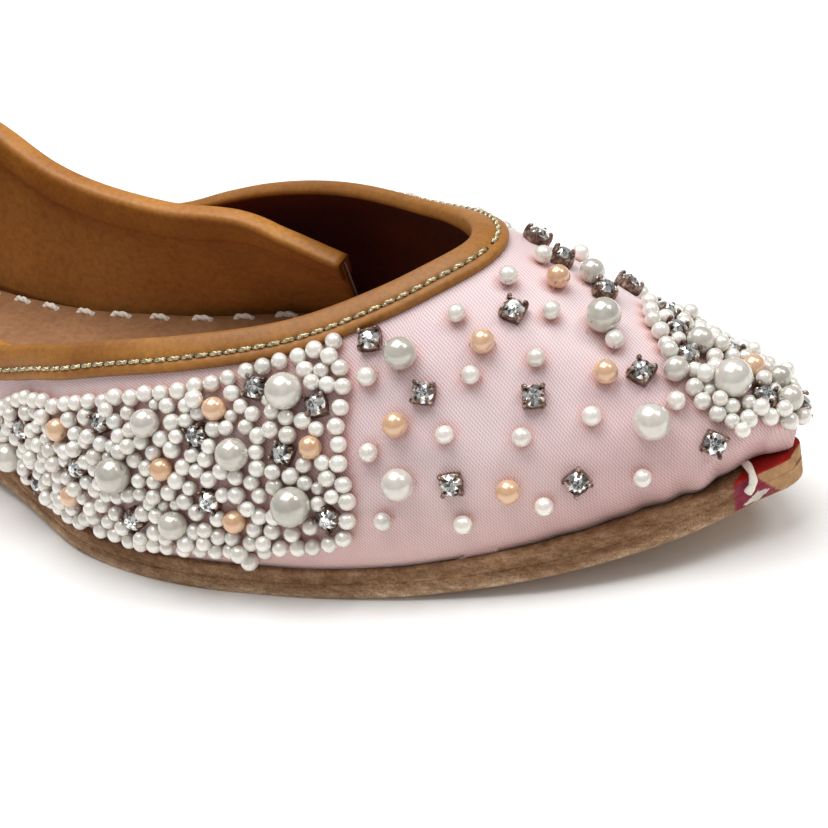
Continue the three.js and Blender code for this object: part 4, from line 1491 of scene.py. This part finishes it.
def sew_side(work, mirror):
    """The near side's stones and its large and scattered pearls, or the same on the far side."""

    def places(table, column):
        extra = table.get(column, np.zeros(len(table["at"])))
        for at, angle, value in zip(table["at"], np.radians(table["angle"]), extra):
            if not mirror:
                yield at, angle, value
            elif on_far_side(at, angle):
                yield at, math.pi - angle, value

    for table in (PANEL_STONES, SCATTERED_STONES, TOE_STONES):
        for at, angle, turn in places(table, "turn"):
            work.sew_stone(at, angle, turn)
    for table in (PANEL_LARGE, TOE_LARGE, LARGE_PEARLS):
        for at, angle, size in places(table, "size"):
            work.sew_pearl(work.large, at, angle, size, thread=table is LARGE_PEARLS)
    for table in (PANEL_PEACH, TOE_PEACH, PEACH_PEARLS):
        for at, angle, _ in places(table, "size"):
            work.sew_pearl(work.peach, at, angle, PEACH, thread=table is PEACH_PEARLS)
    for at, angle, _ in places(SMALL_PEARLS, "size"):
        work.sew_pearl(None, at, angle, SMALL, thread=True)


def make_embroidery(thread_material):
    """All the pearls and stones. Returns the board they are sewn on."""
    work = Embroidery()
    sew_side(work, False)
    sew_row(work, TOE_OUTLINE, False)
    sew_row(work, SIDE_OUTLINE, False)
    sew_side(work, True)
    far_outline = np.minimum(SIDE_OUTLINE, (LENGTH, FAR_PANEL_TOP))
    sew_row(work, far_outline, True)
    for outline, mirror in ((TOE_OUTLINE, False), (SIDE_OUTLINE, False), (far_outline, True)):
        for layer in FILL_LAYERS:
            fill(work, outline, mirror, *layer)
    white = nacre("pearl", srgb(184, 180, 168), srgb(242, 238, 230))
    for beads, name in (
        (work.near, "near_panel_pearls"), (work.far, "far_panel_pearls"),
        (work.toe, "toe_pearls"), (work.large, "large_pearls"),
    ):
        beads.piece(name, white, "pearl")
    peach = nacre("peach_pearl", srgb(218, 174, 134), srgb(236, 202, 170))
    work.peach.piece("peach_pearls", peach, "peach_pearl")
    work.stones.piece("cut_stones", clear_stone(), "clear_stone", smooth=False)
    work.cups.piece("stone_cups", claw_metal(), "stone_claw")
    work.threads.piece("bead_threads", thread_material, "cotton_thread")
    return work.board


# Toe stitch -------------------------------------------------------------------


def make_toe_stitch(cotton):
    """The thick stitch that ties the upper's corner to the painted tip, on each side. It
    comes out of the satin, bends over the sole's edge and goes into the paint."""
    stitch = Collector()
    route = np.array([
        (238.0, -4.6, 13.3), (239.0, -5.9, 13.8), (240.1, -7.2, 13.6), (240.6, -8.0, 12.7),
        (240.4, -8.5, 11.7), (239.8, -8.8, 10.9),
    ])
    for side in (1.0, -1.0):
        path = route * (1.0, side, 1.0)
        for points, faces in twisted(path, 0.5, 0.36, 0.8, 10):
            stitch.add(points, faces)
    stitch.piece("toe_stitches", cotton, "cotton_thread")


# The shoe ---------------------------------------------------------------------

make_camera()
make_studio()
make_sole()
cotton = make_insole()
sewing = thread("sewing_thread", srgb(176, 124, 116), srgb(226, 194, 188))
satin = pink_satin()
lining = leather("lining_leather", srgb(164, 108, 48), srgb(192, 132, 64), 800.0, 0.06, 0.45, 0.62)
# The vamp's lining is a much darker copy of the lining leather: painted shade for the inside of the toe.
lining_painted_shade = leather("vamp_lining_painted_shade", srgb(74, 21, 5), srgb(98, 34, 10), 800.0, 0.06)
tan = leather("tan_binding", srgb(140, 86, 28), srgb(172, 115, 44), 1100.0, 0.045, 0.4, 0.55)
pale_tan = leather("quarter_tan_binding", srgb(162, 100, 36), srgb(196, 133, 56), 1100.0, 0.045, 0.4, 0.55)
board = make_embroidery(sewing)
make_vamp(satin, lining_painted_shade, board)
make_quarter(satin, lining)
make_vamp_binding(tan)
make_quarter_binding(pale_tan)
metallic = thread("metallic_thread", srgb(120, 108, 80), srgb(226, 214, 176), 0.75, 0.32)
# Dark leather for the needle holes: painted shade.
needle_hole_shade_paint = leather("painted_hole_shade", srgb(40, 24, 12), srgb(62, 40, 22))
make_binding_stitches(metallic, needle_hole_shade_paint)
make_toe_stitch(cotton)
